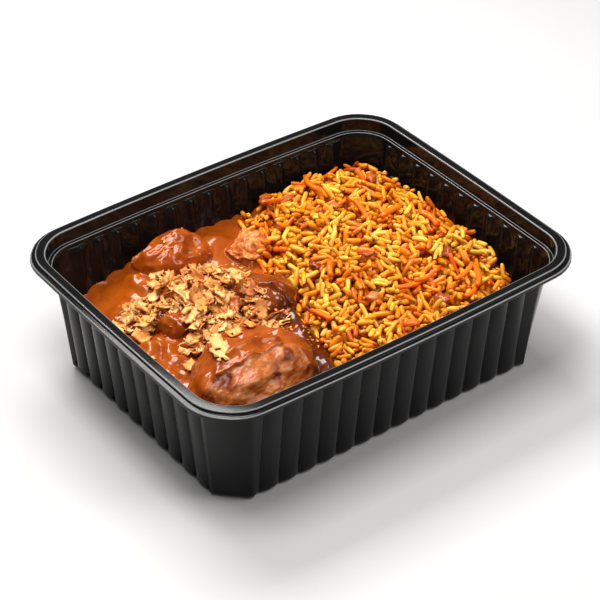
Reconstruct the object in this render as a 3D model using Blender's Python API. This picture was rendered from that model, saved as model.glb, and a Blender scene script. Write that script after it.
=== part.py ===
"""Ready meal in a fluted black plastic tray: chicken in peanut sauce and fried rice.

The tray stands on its flat base at the origin, with its long side along X and its
short side along Y. The chicken and its sauce fill the -X side and the rice the +X side.
All lengths are in metres.
"""
import math
import random

import bmesh
import bpy
from mathutils import Euler, Matrix, Vector, noise

MM = 0.001

# Tray: the outline of the flat ring on top of the rim, and the levels under it
HEIGHT = 66.0 * MM
RING_LENGTH = 219.8 * MM
RING_WIDTH = 173.2 * MM
RING_RADIUS = 23.4 * MM
RADIUS_SHRINK = 0.75
BOW_LONG = 2.6 * MM
BOW_SHORT = 1.0 * MM
BOW_FROM = 0.5
SHEET = 0.8 * MM
RING_FLAT = 4.6 * MM
SKIRT_REACH = 2.55 * MM
SKIRT_DROP = 3.5 * MM
LEDGE_LEVEL = 59.0 * MM
LEDGE_OUTER_INSET = 5.3 * MM
LEDGE_INNER_INSET = 7.2 * MM
LEDGE_FALL = 0.5 * MM
RING_STEP = 1.6 * MM
SKIRT_FALL = 0.3 * MM
SKIRT_ROUND = 0.4 * MM

# Tray wall: draft, flutes and the cut corners of the base
FLUTE_TOP_LEVEL = 57.0 * MM
WALL_INSET_TOP = 7.4 * MM
WALL_INSET_BASE = 12.2 * MM
BASE_ROUND = 2.2 * MM
FLUTE_DEPTH = 2.0 * MM
FLUTES_LONG = 14
FLUTES_SHORT = 10
FLUTE_PITCH_LONG = 11.33 * MM
FLUTE_PITCH_SHORT = 11.77 * MM
FLUTE_STEPS = (0.0, 0.18, 0.5, 0.82)
FLUTE_FULLNESS = 0.55
CORNER_STEPS = 6
CORNER_CUT = 14.0 * MM
SMOOTH_CORNER_STEPS = 9
SMOOTH_SIDE_STEPS = 7
PLAIN_SIDE_STEPS = 6

# Food: levels above the table and the line where sauce and rice meet
GAP = 0.3 * MM
WALL_CLEARANCE = 0.9 * MM
FLOOR_LEVEL = SHEET + GAP
BLOCK_UNDER = -5.0 * MM
MERGE_DISTANCE = 0.002 * MM
SAUCE_LEVEL = 37.0 * MM
SAUCE_RELIEF = 1.2 * MM
SAUCE_RELIEF_LENGTH = 22.0 * MM
SAUCE_CORNER_AT = (-97.0 * MM, 74.0 * MM)
SAUCE_CORNER_REACH = 34.0 * MM
SAUCE_CORNER_DROP = 11.0 * MM
SAUCE_HUMP_AT = (-11.0 * MM, 60.0 * MM)
SAUCE_HUMP_REACH = 11.0 * MM
SAUCE_HUMP_RISE = 6.5 * MM
RICE_LEVEL = 43.0 * MM
RICE_RELIEF = 2.2 * MM
RICE_RELIEF_LENGTH = 15.0 * MM
RICE_CREST = 7.5 * MM
RICE_CREST_AT = (42.0 * MM, 8.0 * MM)
RICE_CREST_REACH = (44.0 * MM, 50.0 * MM)
RICE_NEAR_CORNER = (98.0 * MM, -66.0 * MM)
RICE_NEAR_DROP = 12.0 * MM
RICE_NEAR_REACH = 30.0 * MM
RICE_EDGE_REACH = 28.0 * MM
RICE_EDGE_DROP = 6.5 * MM
BORDER_X = -7.0 * MM
BORDER_SLOPE = 0.28
BORDER_WAVE = 2.5 * MM
BORDER_WAVE_LENGTH = 9.0 * MM
SAUCE_GRID = (11, 20)
RICE_GRID = (18, 20)

# Pieces that stand out of the rice, and how deep their middles sit above its surface
GRAIN_LENGTH = 9.0 * MM
GRAIN_RADIUS = 1.45 * MM
GRAIN_SIDES = 5
GRAIN_BEND = 0.5 * MM
GRAIN_RISE = 0.5 * MM
GRAIN_COUNT = 72
CARROT_LENGTHS = (12.0 * MM, 17.0 * MM)
CARROT_WIDTH = 3.0 * MM
CARROT_THICKNESS = 2.4 * MM
CARROT_BEND = 1.4 * MM
CARROT_RISE = 0.6 * MM
CARROT_TAPER = 0.7
CARROT_COUNT = 10
STRIP_STEPS = 3
MEAT_BIT_HALVES = (2.8, 4.4)
MEAT_BIT_RISE = 0.4 * MM
MEAT_BIT_COUNT = 6
PIECE_TILT = 22.0
PIECE_SPACING = 11.5 * MM
SPACING_SHRINK = 0.4
MOST_TRIES = 60000
RICE_HEADROOM = 5.0 * MM
EDGE_MARGIN = 8.5 * MM
WALL_MARGIN = 7.0 * MM
PLAN_RADIUS = 14.0 * MM
SEED = 7

# Chicken pieces: centre on plan, level of the crown, half sizes and turn on plan
CHICKEN_PIECES = {
    "chicken_back": ((-36.0, 61.5, 53.0), (23.0, 13.5, 19.0), -8.0),
    "chicken_bare_chunk": ((2.0, 46.5, 49.5), (12.5, 12.0, 14.0), 20.0),
    "chicken_middle": ((-17.0, 7.0, 51.0), (17.5, 16.5, 15.0), -25.0),
    "chicken_side": ((-62.0, 15.0, 46.5), (13.5, 12.0, 13.0), -20.0),
    "chicken_front": ((-58.0, -38.5, 57.0), (36.0, 27.5, 24.0), 12.0),
}
LARGE_PIECE = 16.0
LUMP_SWELLS = ((0.16, 1.7), (0.06, 4.5))

# Fried onion flakes heaped over the middle of the chicken
ONION_CENTRE = (-41.0, 19.0, 41.0)
ONION_HALF = (35.0, 29.0, 11.0)
ONION_SEED = 9.4
FLAKE_COUNT = 36
FLAKE_LENGTH = 9.0 * MM
FLAKE_SIZES = (0.75, 1.3)
FLAKE_WIDTH = 4.6 * MM
FLAKE_THICKNESS = 1.1 * MM
FLAKE_CURL = 1.6 * MM
FLAKE_TAPER = 0.45
FLAKE_RISE = 0.3 * MM
FLAKE_SPREAD = 0.85
FLAKE_LEAN = 28.0


def clear_scene():
    """Remove every object so that only the model is left."""
    for item in list(bpy.data.objects):
        bpy.data.objects.remove(item, do_unlink=True)


def make_collection(name):
    """Return a new collection linked to the scene."""
    collection = bpy.data.collections.new(name)
    bpy.context.scene.collection.children.link(collection)
    return collection


def make_material(name, colour, roughness, metallic=0.0):
    """Return a plain Principled material."""
    material = bpy.data.materials.new(name)
    material.use_nodes = True
    shader = material.node_tree.nodes["Principled BSDF"]
    shader.inputs["Base Color"].default_value = (*colour, 1.0)
    shader.inputs["Roughness"].default_value = roughness
    shader.inputs["Metallic"].default_value = metallic
    return material


def make_object(name, shape, collection, material=None):
    """Turn a bmesh into a named object in a collection."""
    mesh = bpy.data.meshes.new(name)
    shape.to_mesh(mesh)
    shape.free()
    item = bpy.data.objects.new(name, mesh)
    collection.objects.link(item)
    if material:
        mesh.materials.append(material)
    return item


def make_cutter(name, shape, collection):
    """Turn a bmesh into a helper object that shows only as wire."""
    item = make_object(name, shape, collection)
    item.display_type = "WIRE"
    item.hide_render = True
    return item


def bowed(x, y, half_x, half_y, share):
    """Push a point of a straight side out along the rim's shallow bow."""
    bow_y = share * BOW_LONG * (1.0 - min(1.0, (x / half_x) ** 2))
    bow_x = share * BOW_SHORT * (1.0 - min(1.0, (y / half_y) ** 2))
    out_y = math.copysign(bow_y, y) if abs(y) > BOW_FROM * half_y else 0.0
    out_x = math.copysign(bow_x, x) if abs(x) > BOW_FROM * half_x else 0.0
    on_long_side = abs(y) / half_y > abs(x) / half_x
    return (x, y + out_y) if on_long_side else (x + out_x, y)


def smooth_loop(inset, level):
    """Return the points of a rounded rectangle at a level, bowed like the rim."""
    half_x = RING_LENGTH / 2 - inset
    half_y = RING_WIDTH / 2 - inset
    radius = RING_RADIUS - RADIUS_SHRINK * inset
    share = level / HEIGHT
    points = []
    centres = (
        (half_x - radius, -half_y + radius, -90.0),
        (half_x - radius, half_y - radius, 0.0),
        (-half_x + radius, half_y - radius, 90.0),
        (-half_x + radius, -half_y + radius, 180.0),
    )
    for index, (cx, cy, start) in enumerate(centres):
        for step in range(SMOOTH_CORNER_STEPS):
            turn = math.radians(start + 90.0 * step / (SMOOTH_CORNER_STEPS - 1))
            points.append((cx + radius * math.cos(turn), cy + radius * math.sin(turn)))
        next_cx, next_cy, next_start = centres[(index + 1) % 4]
        turn = math.radians(next_start)
        goal = (next_cx + radius * math.cos(turn), next_cy + radius * math.sin(turn))
        begin = points[-1]
        for step in range(1, SMOOTH_SIDE_STEPS):
            part = step / SMOOTH_SIDE_STEPS
            points.append((begin[0] + (goal[0] - begin[0]) * part, begin[1] + (goal[1] - begin[1]) * part))
    return [Vector((*bowed(x, y, half_x, half_y, share), level)) for x, y in points]


def flute_profile(part):
    """Return how far in from its crest a flute lies, from 0 at the crest to 1 at a groove."""
    return 1.0 - math.sin(math.pi * part) ** FLUTE_FULLNESS if part > 0.0 else 1.0


def fluted_side(count, pitch, crest):
    """Return (along, out) points of one fluted side, centred on its middle."""
    points = []
    for flute in range(count):
        for part in FLUTE_STEPS:
            along = (flute + part - count / 2) * pitch
            points.append((along, crest - FLUTE_DEPTH * flute_profile(part)))
    points.append((count / 2 * pitch, crest - FLUTE_DEPTH))
    return points


def plain_side(count, pitch, crest):
    """Return (along, out) points of one side that runs along the bottoms of the grooves."""
    reach = count / 2 * pitch
    steps = PLAIN_SIDE_STEPS
    return [(reach * (2.0 * step / steps - 1.0), crest - FLUTE_DEPTH) for step in range(steps + 1)]


def wall_loop(inset, level, side=fluted_side):
    """Return the points of the wall at a level, with its plain cut corners."""
    half_x = RING_LENGTH / 2 - inset
    half_y = RING_WIDTH / 2 - inset
    share = level / HEIGHT
    radius = RING_RADIUS - RADIUS_SHRINK * inset
    corner_cut = CORNER_CUT - RADIUS_SHRINK * (inset - WALL_INSET_BASE)
    points = []
    sides = (
        (0.0, FLUTES_LONG, FLUTE_PITCH_LONG, half_y, half_x),
        (90.0, FLUTES_SHORT, FLUTE_PITCH_SHORT, half_x, half_y),
        (180.0, FLUTES_LONG, FLUTE_PITCH_LONG, half_y, half_x),
        (270.0, FLUTES_SHORT, FLUTE_PITCH_SHORT, half_x, half_y),
    )
    for turn, count, pitch, crest, reach in sides:
        spin = Matrix.Rotation(math.radians(turn), 2)
        for along, out in side(count, pitch, crest):
            points.append(spin @ Vector((along, -out)))
        for step in range(CORNER_STEPS + 1):
            part = step / CORNER_STEPS
            angle = math.radians(-90.0 + 90.0 * part)
            arc = Vector((reach - radius + radius * math.cos(angle), -crest + radius + radius * math.sin(angle)))
            chamfer = Vector((reach - corner_cut * (1.0 - part), -crest + corner_cut * part))
            points.append(spin @ (arc * share + chamfer * (1.0 - share)))
    return [Vector((*bowed(p.x, p.y, half_x, half_y, share), level)) for p in points]


def perimeter_turns(points):
    """Return each point's place round the tray as a number from 0 to 1."""
    scale_x = 2.0 / RING_LENGTH
    scale_y = 2.0 / RING_WIDTH
    return [math.atan2(p.x * scale_x, -p.y * scale_y) / math.tau % 1.0 for p in points]


def add_loop(shape, points):
    """Add a closed loop of vertices to a bmesh."""
    return [shape.verts.new(p) for p in points]


def join_equal(shape, lower, upper):
    """Join two loops with the same number of vertices by quads."""
    count = len(lower)
    for i in range(count):
        j = (i + 1) % count
        shape.faces.new((lower[i], lower[j], upper[j], upper[i]))


def join_unequal(shape, lower, upper):
    """Join a fluted loop to a smooth one, stepping on whichever lies further back."""
    def ordered(loop):
        turns = perimeter_turns([v.co for v in loop])
        first = min(range(len(loop)), key=lambda i: turns[i])
        turned = loop[first:] + loop[:first]
        places = turns[first:] + turns[:first]
        return turned, [*places, places[0] + 1.0]

    low, low_turns = ordered(lower)
    high, high_turns = ordered(upper)
    i = j = 0
    while i < len(low) or j < len(high):
        step_low = j >= len(high) or (i < len(low) and low_turns[i + 1] <= high_turns[j + 1])
        a = low[i % len(low)]
        b = high[j % len(high)]
        if step_low:
            shape.faces.new((a, low[(i + 1) % len(low)], b))
            i += 1
        else:
            shape.faces.new((a, high[(j + 1) % len(high)], b))
            j += 1


def wall_stations(outwards):
    """Return (inset, level) of the fluted wall's loops, for the inner or the outer face."""
    slope = (WALL_INSET_BASE - WALL_INSET_TOP) / FLUTE_TOP_LEVEL
    floor = 0.0 if outwards else SHEET
    shift = SHEET if outwards else 0.0
    round_top = floor + BASE_ROUND
    return (
        (WALL_INSET_BASE + BASE_ROUND - shift, floor),
        (WALL_INSET_BASE - slope * round_top - shift, round_top),
        (WALL_INSET_TOP - shift, FLUTE_TOP_LEVEL),
    )


def rim_stations(outwards):
    """Return (inset, level) of the smooth loops from the ledge to the skirt's lip."""
    shift = SHEET if outwards else 0.0
    under = HEIGHT - shift
    return (
        (LEDGE_INNER_INSET - shift, LEDGE_LEVEL - LEDGE_FALL - shift / 2),
        (LEDGE_OUTER_INSET - shift, LEDGE_LEVEL - shift),
        (RING_FLAT - shift, under),
        (shift, under),
        (shift, under - RING_STEP),
        (shift - SKIRT_REACH + SKIRT_ROUND, under - RING_STEP - SKIRT_FALL),
        (shift - SKIRT_REACH, HEIGHT - SKIRT_DROP),
    )


def skin_face(shape, outwards):
    """Add one face of the sheet, from the base to the lip, and return the lip's loop."""
    walls = [add_loop(shape, wall_loop(*station)) for station in wall_stations(outwards)]
    rims = [add_loop(shape, smooth_loop(*station)) for station in rim_stations(outwards)]
    shape.faces.new(walls[0])
    for loops in (walls, rims):
        for lower, upper in zip(loops, loops[1:]):
            join_equal(shape, lower, upper)
    join_unequal(shape, walls[-1], rims[0])
    return rims[-1]


def build_tray(collection, material):
    """Build the thermoformed tray as one sheet with an inner and an outer face."""
    shape = bmesh.new()
    inner_lip = skin_face(shape, outwards=False)
    outer_lip = skin_face(shape, outwards=True)
    join_equal(shape, inner_lip, outer_lip)
    bmesh.ops.recalc_face_normals(shape, faces=shape.faces)
    return make_object("tray", shape, collection, material)


def relief(x, y, wavelength, phase):
    """Return smooth unevenness between about -1 and 1 for a place on plan."""
    return noise.noise(Vector((x / wavelength, y / wavelength, phase)))


def border(y):
    """Return the X where the sauce side ends and the rice begins."""
    return BORDER_X + BORDER_SLOPE * y + BORDER_WAVE * math.sin(y / BORDER_WAVE_LENGTH)


def sauce_edge(y):
    """Return the X of the sauce pool's end."""
    return border(y) - GAP / 2


def rice_edge(y):
    """Return the X where the rice heap starts."""
    return border(y) + GAP / 2


def sauce_top(x, y):
    """Return the level of the sauce, which sinks towards the far left corner.

    Between the back piece and the bare chunk the sauce lies over a low hump.
    """
    corner = math.hypot(x - SAUCE_CORNER_AT[0], y - SAUCE_CORNER_AT[1])
    sink = SAUCE_CORNER_DROP * math.exp(-((corner / SAUCE_CORNER_REACH) ** 2))
    hump = math.hypot(x - SAUCE_HUMP_AT[0], y - SAUCE_HUMP_AT[1])
    rise = SAUCE_HUMP_RISE * math.exp(-((hump / SAUCE_HUMP_REACH) ** 2))
    return SAUCE_LEVEL - sink + rise + SAUCE_RELIEF * relief(x, y, SAUCE_RELIEF_LENGTH, 1.3)


def rice_top(x, y):
    """Return the level of the rice heap without its grains."""
    across = ((x - RICE_CREST_AT[0]) / RICE_CREST_REACH[0]) ** 2
    along = ((y - RICE_CREST_AT[1]) / RICE_CREST_REACH[1]) ** 2
    level = RICE_LEVEL + RICE_CREST * math.exp(-across - along)
    corner = math.hypot(x - RICE_NEAR_CORNER[0], y - RICE_NEAR_CORNER[1])
    level -= RICE_NEAR_DROP * math.exp(-((corner / RICE_NEAR_REACH) ** 2))
    beside_sauce = max(0.0, 1.0 - (x - border(y)) / RICE_EDGE_REACH)
    level -= RICE_EDGE_DROP * beside_sauce ** 2
    return level + RICE_RELIEF * relief(x, y, RICE_RELIEF_LENGTH, 4.7)


def block_shape(near_edge, far_edge, top, steps_x, steps_y, lift=0.0, spread=0.0):
    """Return a closed block under a height function between two waved edges.

    A block that is lifted and spread clears the plain one all over, because its top
    has the same points and its ends reach past the plain block's ends.
    """
    shape = bmesh.new()
    reach_y = RING_WIDTH / 2
    extra = 1 if spread else 0
    rows = []
    for j in range(steps_y + 1):
        y = -reach_y + 2.0 * reach_y * j / steps_y
        row = []
        for i in range(-extra, steps_x + 1 + extra):
            inside = min(max(i, 0), steps_x)
            x = near_edge(y) + (far_edge(y) - near_edge(y)) * inside / steps_x
            row.append(shape.verts.new((x + (i - inside) * spread, y, top(x, y) + lift)))
        rows.append(row)
    for j in range(steps_y):
        for i in range(len(rows[0]) - 1):
            shape.faces.new((rows[j][i], rows[j][i + 1], rows[j + 1][i + 1], rows[j + 1][i]))
    rim = [e for e in shape.edges if e.is_boundary]
    walls = bmesh.ops.extrude_edge_only(shape, edges=rim)
    lowered = [v for v in walls["geom"] if isinstance(v, bmesh.types.BMVert)]
    for vertex in lowered:
        vertex.co.z = BLOCK_UNDER
    bmesh.ops.contextual_create(shape, geom=[e for e in shape.edges if e.is_boundary])
    bmesh.ops.recalc_face_normals(shape, faces=shape.faces)
    return shape


def cavity_shape(floor_level, top_level):
    """Return the closed space inside the flutes that the food may fill."""
    shape = bmesh.new()
    slope = (WALL_INSET_BASE - WALL_INSET_TOP) / FLUTE_TOP_LEVEL
    stations = (
        (WALL_INSET_BASE + BASE_ROUND, floor_level),
        (WALL_INSET_BASE, floor_level + 2.0 * BASE_ROUND),
        (WALL_INSET_BASE - slope * top_level, top_level),
    )
    loops = []
    for inset, level in stations:
        points = wall_loop(inset + WALL_CLEARANCE, level, plain_side)
        loops.append(add_loop(shape, points))
    for lower, upper in zip(loops, loops[1:]):
        join_equal(shape, lower, upper)
    shape.faces.new(reversed(loops[0]))
    shape.faces.new(loops[-1])
    bmesh.ops.recalc_face_normals(shape, faces=shape.faces)
    return shape


def cut(item, other, operation="DIFFERENCE", solver="EXACT"):
    """Add a Boolean modifier that cuts an object by another."""
    step = item.modifiers.new(operation.lower(), "BOOLEAN")
    step.operation = operation
    step.object = other
    step.solver = solver
    return step


def apply_modifiers(item):
    """Replace an object's mesh by its evaluated one."""
    view = bpy.context.evaluated_depsgraph_get()
    solid = bpy.data.meshes.new_from_object(item.evaluated_get(view))
    item.modifiers.clear()
    item.data = solid


def keep_largest(item):
    """Drop the loose scraps that a cut leaves beside the main piece."""
    shape = bmesh.new()
    shape.from_mesh(item.data)
    bmesh.ops.remove_doubles(shape, verts=shape.verts, dist=MERGE_DISTANCE)
    unseen = set(shape.verts)
    pieces = []
    while unseen:
        piece = set()
        waiting = [unseen.pop()]
        while waiting:
            vertex = waiting.pop()
            piece.add(vertex)
            for edge in vertex.link_edges:
                other = edge.other_vert(vertex)
                if other in unseen:
                    unseen.remove(other)
                    waiting.append(other)
        pieces.append(piece)
    pieces.sort(key=len, reverse=True)
    scraps = [v for piece in pieces[1:] for v in piece]
    bmesh.ops.delete(shape, geom=scraps, context="VERTS")
    shape.to_mesh(item.data)
    shape.free()


def fuse(item, members, cutters):
    """Join the objects of a collection to one object by a Boolean union."""
    step = item.modifiers.new("fuse", "BOOLEAN")
    step.operation = "UNION"
    step.operand_type = "COLLECTION"
    step.collection = members
    step.solver = "MANIFOLD"
    apply_modifiers(item)
    for member in list(members.objects):
        bpy.data.objects.remove(member, do_unlink=True)
    bpy.data.collections.remove(members)
    for cutter, operation in cutters:
        cut(item, cutter, operation, "MANIFOLD")
    apply_modifiers(item)
    keep_largest(item)


def lump_shape(half, seed, grow, subdivisions):
    """Return a rounded uneven lump with the given half sizes in millimetres."""
    shape = bmesh.new()
    bmesh.ops.create_icosphere(shape, subdivisions=subdivisions, radius=1.0)
    (broad, slow), (fine, quick) = LUMP_SWELLS
    for vertex in shape.verts:
        direction = vertex.co.normalized()
        swell = 1.0 + broad * noise.noise(direction * slow + Vector((seed, 0.0, 0.0)))
        swell += fine * noise.noise(direction * quick + Vector((0.0, seed, 0.0)))
        size = Vector(half) * MM * swell
        vertex.co = Vector([direction[k] * (size[k] + grow) for k in range(3)])
    return shape


def place_lump(item, centre, half, turn):
    """Set a lump so that its crown is at the named level."""
    item.location = (centre[0] * MM, centre[1] * MM, (centre[2] - half[2]) * MM)
    item.rotation_euler = Euler((0.0, 0.0, math.radians(turn)))


def build_chicken(collection, helpers, material, clearances):
    """Build the chicken pieces, each on the sauce and clear of the rice and each other.

    Return the pieces' clearances, which are the same shapes grown by the gap.
    """
    grown = []
    for index, (name, (centre, half, turn)) in enumerate(CHICKEN_PIECES.items()):
        seed = 3.1 * (index + 1)
        fineness = 3 if half[0] > LARGE_PIECE else 2
        item = make_object(name, lump_shape(half, seed, 0.0, fineness), collection, material)
        place_lump(item, centre, half, turn)
        around = make_cutter(name + "_clearance", lump_shape(half, seed, GAP, fineness), helpers)
        place_lump(around, centre, half, turn)
        for earlier in grown:
            cut(item, earlier)
        for clearance in clearances:
            cut(item, clearance)
        grown.append(around)
    return grown


def grain_shape(length, radius, sides, bend):
    """Return a closed grain along X with pointed ends and a slight bend."""
    shape = bmesh.new()
    stations = ((-0.36, 0.8), (0.0, 1.0), (0.36, 0.8))
    rings = []
    for place, share in stations:
        ring = []
        for k in range(sides):
            turn = math.tau * k / sides
            sag = bend * (1.0 - (2.0 * place) ** 2)
            y = share * radius * math.cos(turn) + sag
            ring.append(shape.verts.new((place * length, y, share * radius * math.sin(turn))))
        rings.append(ring)
    for a, b in zip(rings, rings[1:]):
        join_equal(shape, b, a)
    for ring, end in ((rings[0], -0.5), (rings[-1], 0.5)):
        tip = shape.verts.new((end * length, 0.0, 0.0))
        for k in range(sides):
            shape.faces.new((ring[k], ring[(k + 1) % sides], tip))
    bmesh.ops.recalc_face_normals(shape, faces=shape.faces)
    return shape


def strip_shape(length, width, thickness, bend, taper):
    """Return a closed bent strip along X, such as a carrot stick or an onion flake."""
    shape = bmesh.new()
    rings = []
    for step in range(STRIP_STEPS + 1):
        place = step / STRIP_STEPS - 0.5
        share = 1.0 - (1.0 - taper) * abs(2.0 * place)
        lift = bend * (1.0 - (2.0 * place) ** 2)
        ring = []
        for side, rise in ((-1, -1), (1, -1), (1, 1), (-1, 1)):
            y = side * share * width / 2
            ring.append(shape.verts.new((place * length, y, rise * thickness / 2 + lift)))
        rings.append(ring)
    for a, b in zip(rings, rings[1:]):
        join_equal(shape, a, b)
    shape.faces.new(rings[0])
    shape.faces.new(rings[-1])
    bmesh.ops.recalc_face_normals(shape, faces=shape.faces)
    return shape


def spread_places(rng, count, inside, spacing):
    """Return places on plan that keep their distance, drawn in a fixed order."""
    places = []
    tries = 0
    while len(places) < count and tries < MOST_TRIES:
        tries += 1
        x = rng.uniform(-RING_LENGTH / 2, RING_LENGTH / 2)
        y = rng.uniform(-RING_WIDTH / 2, RING_WIDTH / 2)
        room = spacing * (1.0 - SPACING_SHRINK * tries / MOST_TRIES)
        if inside(x, y) and all(math.hypot(x - a, y - b) > room for a, b in places):
            places.append((x, y))
    return places


def inside_tray(x, y, margin):
    """Say whether a place lies inside the wall at food level by a margin."""
    half_x = RING_LENGTH / 2 - WALL_INSET_TOP - FLUTE_DEPTH - margin
    half_y = RING_WIDTH / 2 - WALL_INSET_TOP - FLUTE_DEPTH - margin
    corner_x = max(0.0, abs(x) - half_x + PLAN_RADIUS)
    corner_y = max(0.0, abs(y) - half_y + PLAN_RADIUS)
    return abs(x) < half_x and abs(y) < half_y and math.hypot(corner_x, corner_y) < PLAN_RADIUS


def build_rice(collection, material, cavity):
    """Build the rice heap: an uneven core with grains, carrot sticks and meat bits on it."""
    rng = random.Random(SEED)
    shape = block_shape(rice_edge, lambda y: RING_LENGTH / 2, rice_top, *RICE_GRID)
    rice = make_object("rice_heap", shape, collection, material)
    cut(rice, cavity, "INTERSECT")
    apply_modifiers(rice)
    members = make_collection("rice_pieces")

    def on_rice(x, y):
        return inside_tray(x, y, WALL_MARGIN) and x > border(y) + EDGE_MARGIN

    total = GRAIN_COUNT + CARROT_COUNT + MEAT_BIT_COUNT
    places = spread_places(rng, total, on_rice, PIECE_SPACING)
    rng.shuffle(places)
    for index, (x, y) in enumerate(places):
        tilt = math.radians(rng.uniform(-PIECE_TILT, PIECE_TILT))
        turn = rng.uniform(0.0, math.tau)
        if index < CARROT_COUNT:
            length = rng.uniform(*CARROT_LENGTHS)
            stick = strip_shape(length, CARROT_WIDTH, CARROT_THICKNESS, CARROT_BEND, CARROT_TAPER)
            item = make_object("carrot", stick, members)
            rise = CARROT_RISE
        elif index < CARROT_COUNT + MEAT_BIT_COUNT:
            half = [rng.uniform(*MEAT_BIT_HALVES) for _ in range(3)]
            item = make_object("meat_bit", lump_shape(half, index, 0.0, 1), members)
            rise = MEAT_BIT_RISE
        else:
            length = GRAIN_LENGTH * rng.uniform(0.85, 1.12)
            grain = grain_shape(length, GRAIN_RADIUS, GRAIN_SIDES, GRAIN_BEND)
            item = make_object("grain", grain, members)
            rise = GRAIN_RISE
        item.location = (x, y, rice_top(x, y) + rise)
        item.rotation_euler = Euler((0.0, tilt, turn))
    fuse(rice, members, ((cavity, "INTERSECT"),))
    return rice


def build_sauce(collection, material, cavity):
    """Build the pool of sauce that fills the chicken side up to its level."""
    shape = block_shape(lambda y: -RING_LENGTH / 2, sauce_edge, sauce_top, *SAUCE_GRID)
    sauce = make_object("sauce_pool", shape, collection, material)
    cut(sauce, cavity, "INTERSECT")
    apply_modifiers(sauce)
    return sauce


def build_onions(collection, material, clearances):
    """Build the heap of fried onion flakes that lies over the chicken and the sauce."""
    rng = random.Random(SEED + 1)
    core = lump_shape(ONION_HALF, ONION_SEED, 0.0, 2)
    bmesh.ops.translate(core, verts=core.verts, vec=Vector(ONION_CENTRE) * MM)
    onions = make_object("onion_heap", core, collection, material)
    members = make_collection("onion_flakes")
    for _ in range(FLAKE_COUNT):
        turn = rng.uniform(0.0, math.tau)
        out = math.sqrt(rng.uniform(0.0, FLAKE_SPREAD))
        x = (ONION_CENTRE[0] + ONION_HALF[0] * out * math.cos(turn)) * MM
        y = (ONION_CENTRE[1] + ONION_HALF[1] * out * math.sin(turn)) * MM
        rise = ONION_HALF[2] * math.sqrt(1.0 - out ** 2) * MM
        length = FLAKE_LENGTH * rng.uniform(*FLAKE_SIZES)
        flake = strip_shape(length, FLAKE_WIDTH, FLAKE_THICKNESS, FLAKE_CURL, FLAKE_TAPER)
        item = make_object("flake", flake, members)
        item.location = (x, y, ONION_CENTRE[2] * MM + rise + FLAKE_RISE)
        lean = math.radians(rng.uniform(-FLAKE_LEAN, FLAKE_LEAN))
        roll = math.radians(rng.uniform(-PIECE_TILT, PIECE_TILT))
        item.rotation_euler = Euler((roll, lean, rng.uniform(0.0, math.tau)))
    fuse(onions, members, tuple((clearance, "DIFFERENCE") for clearance in clearances))
    return onions


def main():
    """Build the tray and its food."""
    clear_scene()
    meal = make_collection("ready_meal")
    helpers = make_collection("cutters")
    black_plastic = make_material("black_plastic", (0.012, 0.012, 0.013), 0.3)
    peanut_sauce = make_material("peanut_sauce", (0.36, 0.11, 0.02), 0.15)
    grilled_chicken = make_material("grilled_chicken", (0.45, 0.17, 0.05), 0.35)
    yellow_rice = make_material("yellow_rice", (0.85, 0.48, 0.07), 0.4)
    fried_onion = make_material("fried_onion", (0.62, 0.32, 0.1), 0.55)

    build_tray(meal, black_plastic)
    cavity = make_cutter("food_cavity", cavity_shape(FLOOR_LEVEL, FLUTE_TOP_LEVEL), helpers)
    build_sauce(meal, peanut_sauce, cavity)
    build_rice(meal, yellow_rice, cavity)

    pool = block_shape(lambda y: -RING_LENGTH / 2, sauce_edge, sauce_top, *SAUCE_GRID, GAP, GAP)
    above_sauce = make_cutter("sauce_clearance", pool, helpers)
    heap = block_shape(rice_edge, lambda y: RING_LENGTH / 2, rice_top, *RICE_GRID, RICE_HEADROOM, GAP)
    beside_rice = make_cutter("rice_clearance", heap, helpers)
    grown = build_chicken(meal, helpers, grilled_chicken, (above_sauce, beside_rice))
    build_onions(meal, fried_onion, (above_sauce, beside_rice, *grown))


main()
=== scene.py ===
"""Ready meal in a fluted black plastic tray, dressed for a studio picture.

The tray stands on its base at the origin, its long side along X and its short side
along Y. The chicken and its sauce fill the -X side and the rice the +X side. Sizes are
in millimetres and are turned into metres where a mesh is made.
"""
import logging
import math
import random
from dataclasses import dataclass, field
from enum import Enum
from typing import Callable, Iterable, Sequence

import bmesh
import bpy
import numpy as np
from mathutils import Matrix, Vector, noise
from mathutils.bvhtree import BVHTree


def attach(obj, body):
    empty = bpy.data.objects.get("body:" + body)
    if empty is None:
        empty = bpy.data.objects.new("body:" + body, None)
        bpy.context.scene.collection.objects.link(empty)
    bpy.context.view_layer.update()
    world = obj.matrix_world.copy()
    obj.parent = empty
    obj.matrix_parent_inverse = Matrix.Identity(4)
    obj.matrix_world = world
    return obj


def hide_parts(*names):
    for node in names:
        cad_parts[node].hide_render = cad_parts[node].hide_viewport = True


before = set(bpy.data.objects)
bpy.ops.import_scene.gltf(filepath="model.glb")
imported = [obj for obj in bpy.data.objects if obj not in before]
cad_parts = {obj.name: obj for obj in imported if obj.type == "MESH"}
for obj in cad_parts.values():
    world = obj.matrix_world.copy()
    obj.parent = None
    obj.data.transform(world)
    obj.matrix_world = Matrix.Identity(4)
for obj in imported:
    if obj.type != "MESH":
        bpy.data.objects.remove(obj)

MM = 0.001
LOG = logging.getLogger("ready_meal")
BODY = "root"
NOISE_SEED = 1
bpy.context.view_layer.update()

Point = tuple[float, float, float]
Colour = tuple[float, float, float, float]
Place = tuple[float, float]
Path = tuple[Place, ...]
Faces = list[Sequence[int]]
Piece = bpy.types.Object
Material = bpy.types.Material
Socket = bpy.types.NodeSocket


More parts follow.
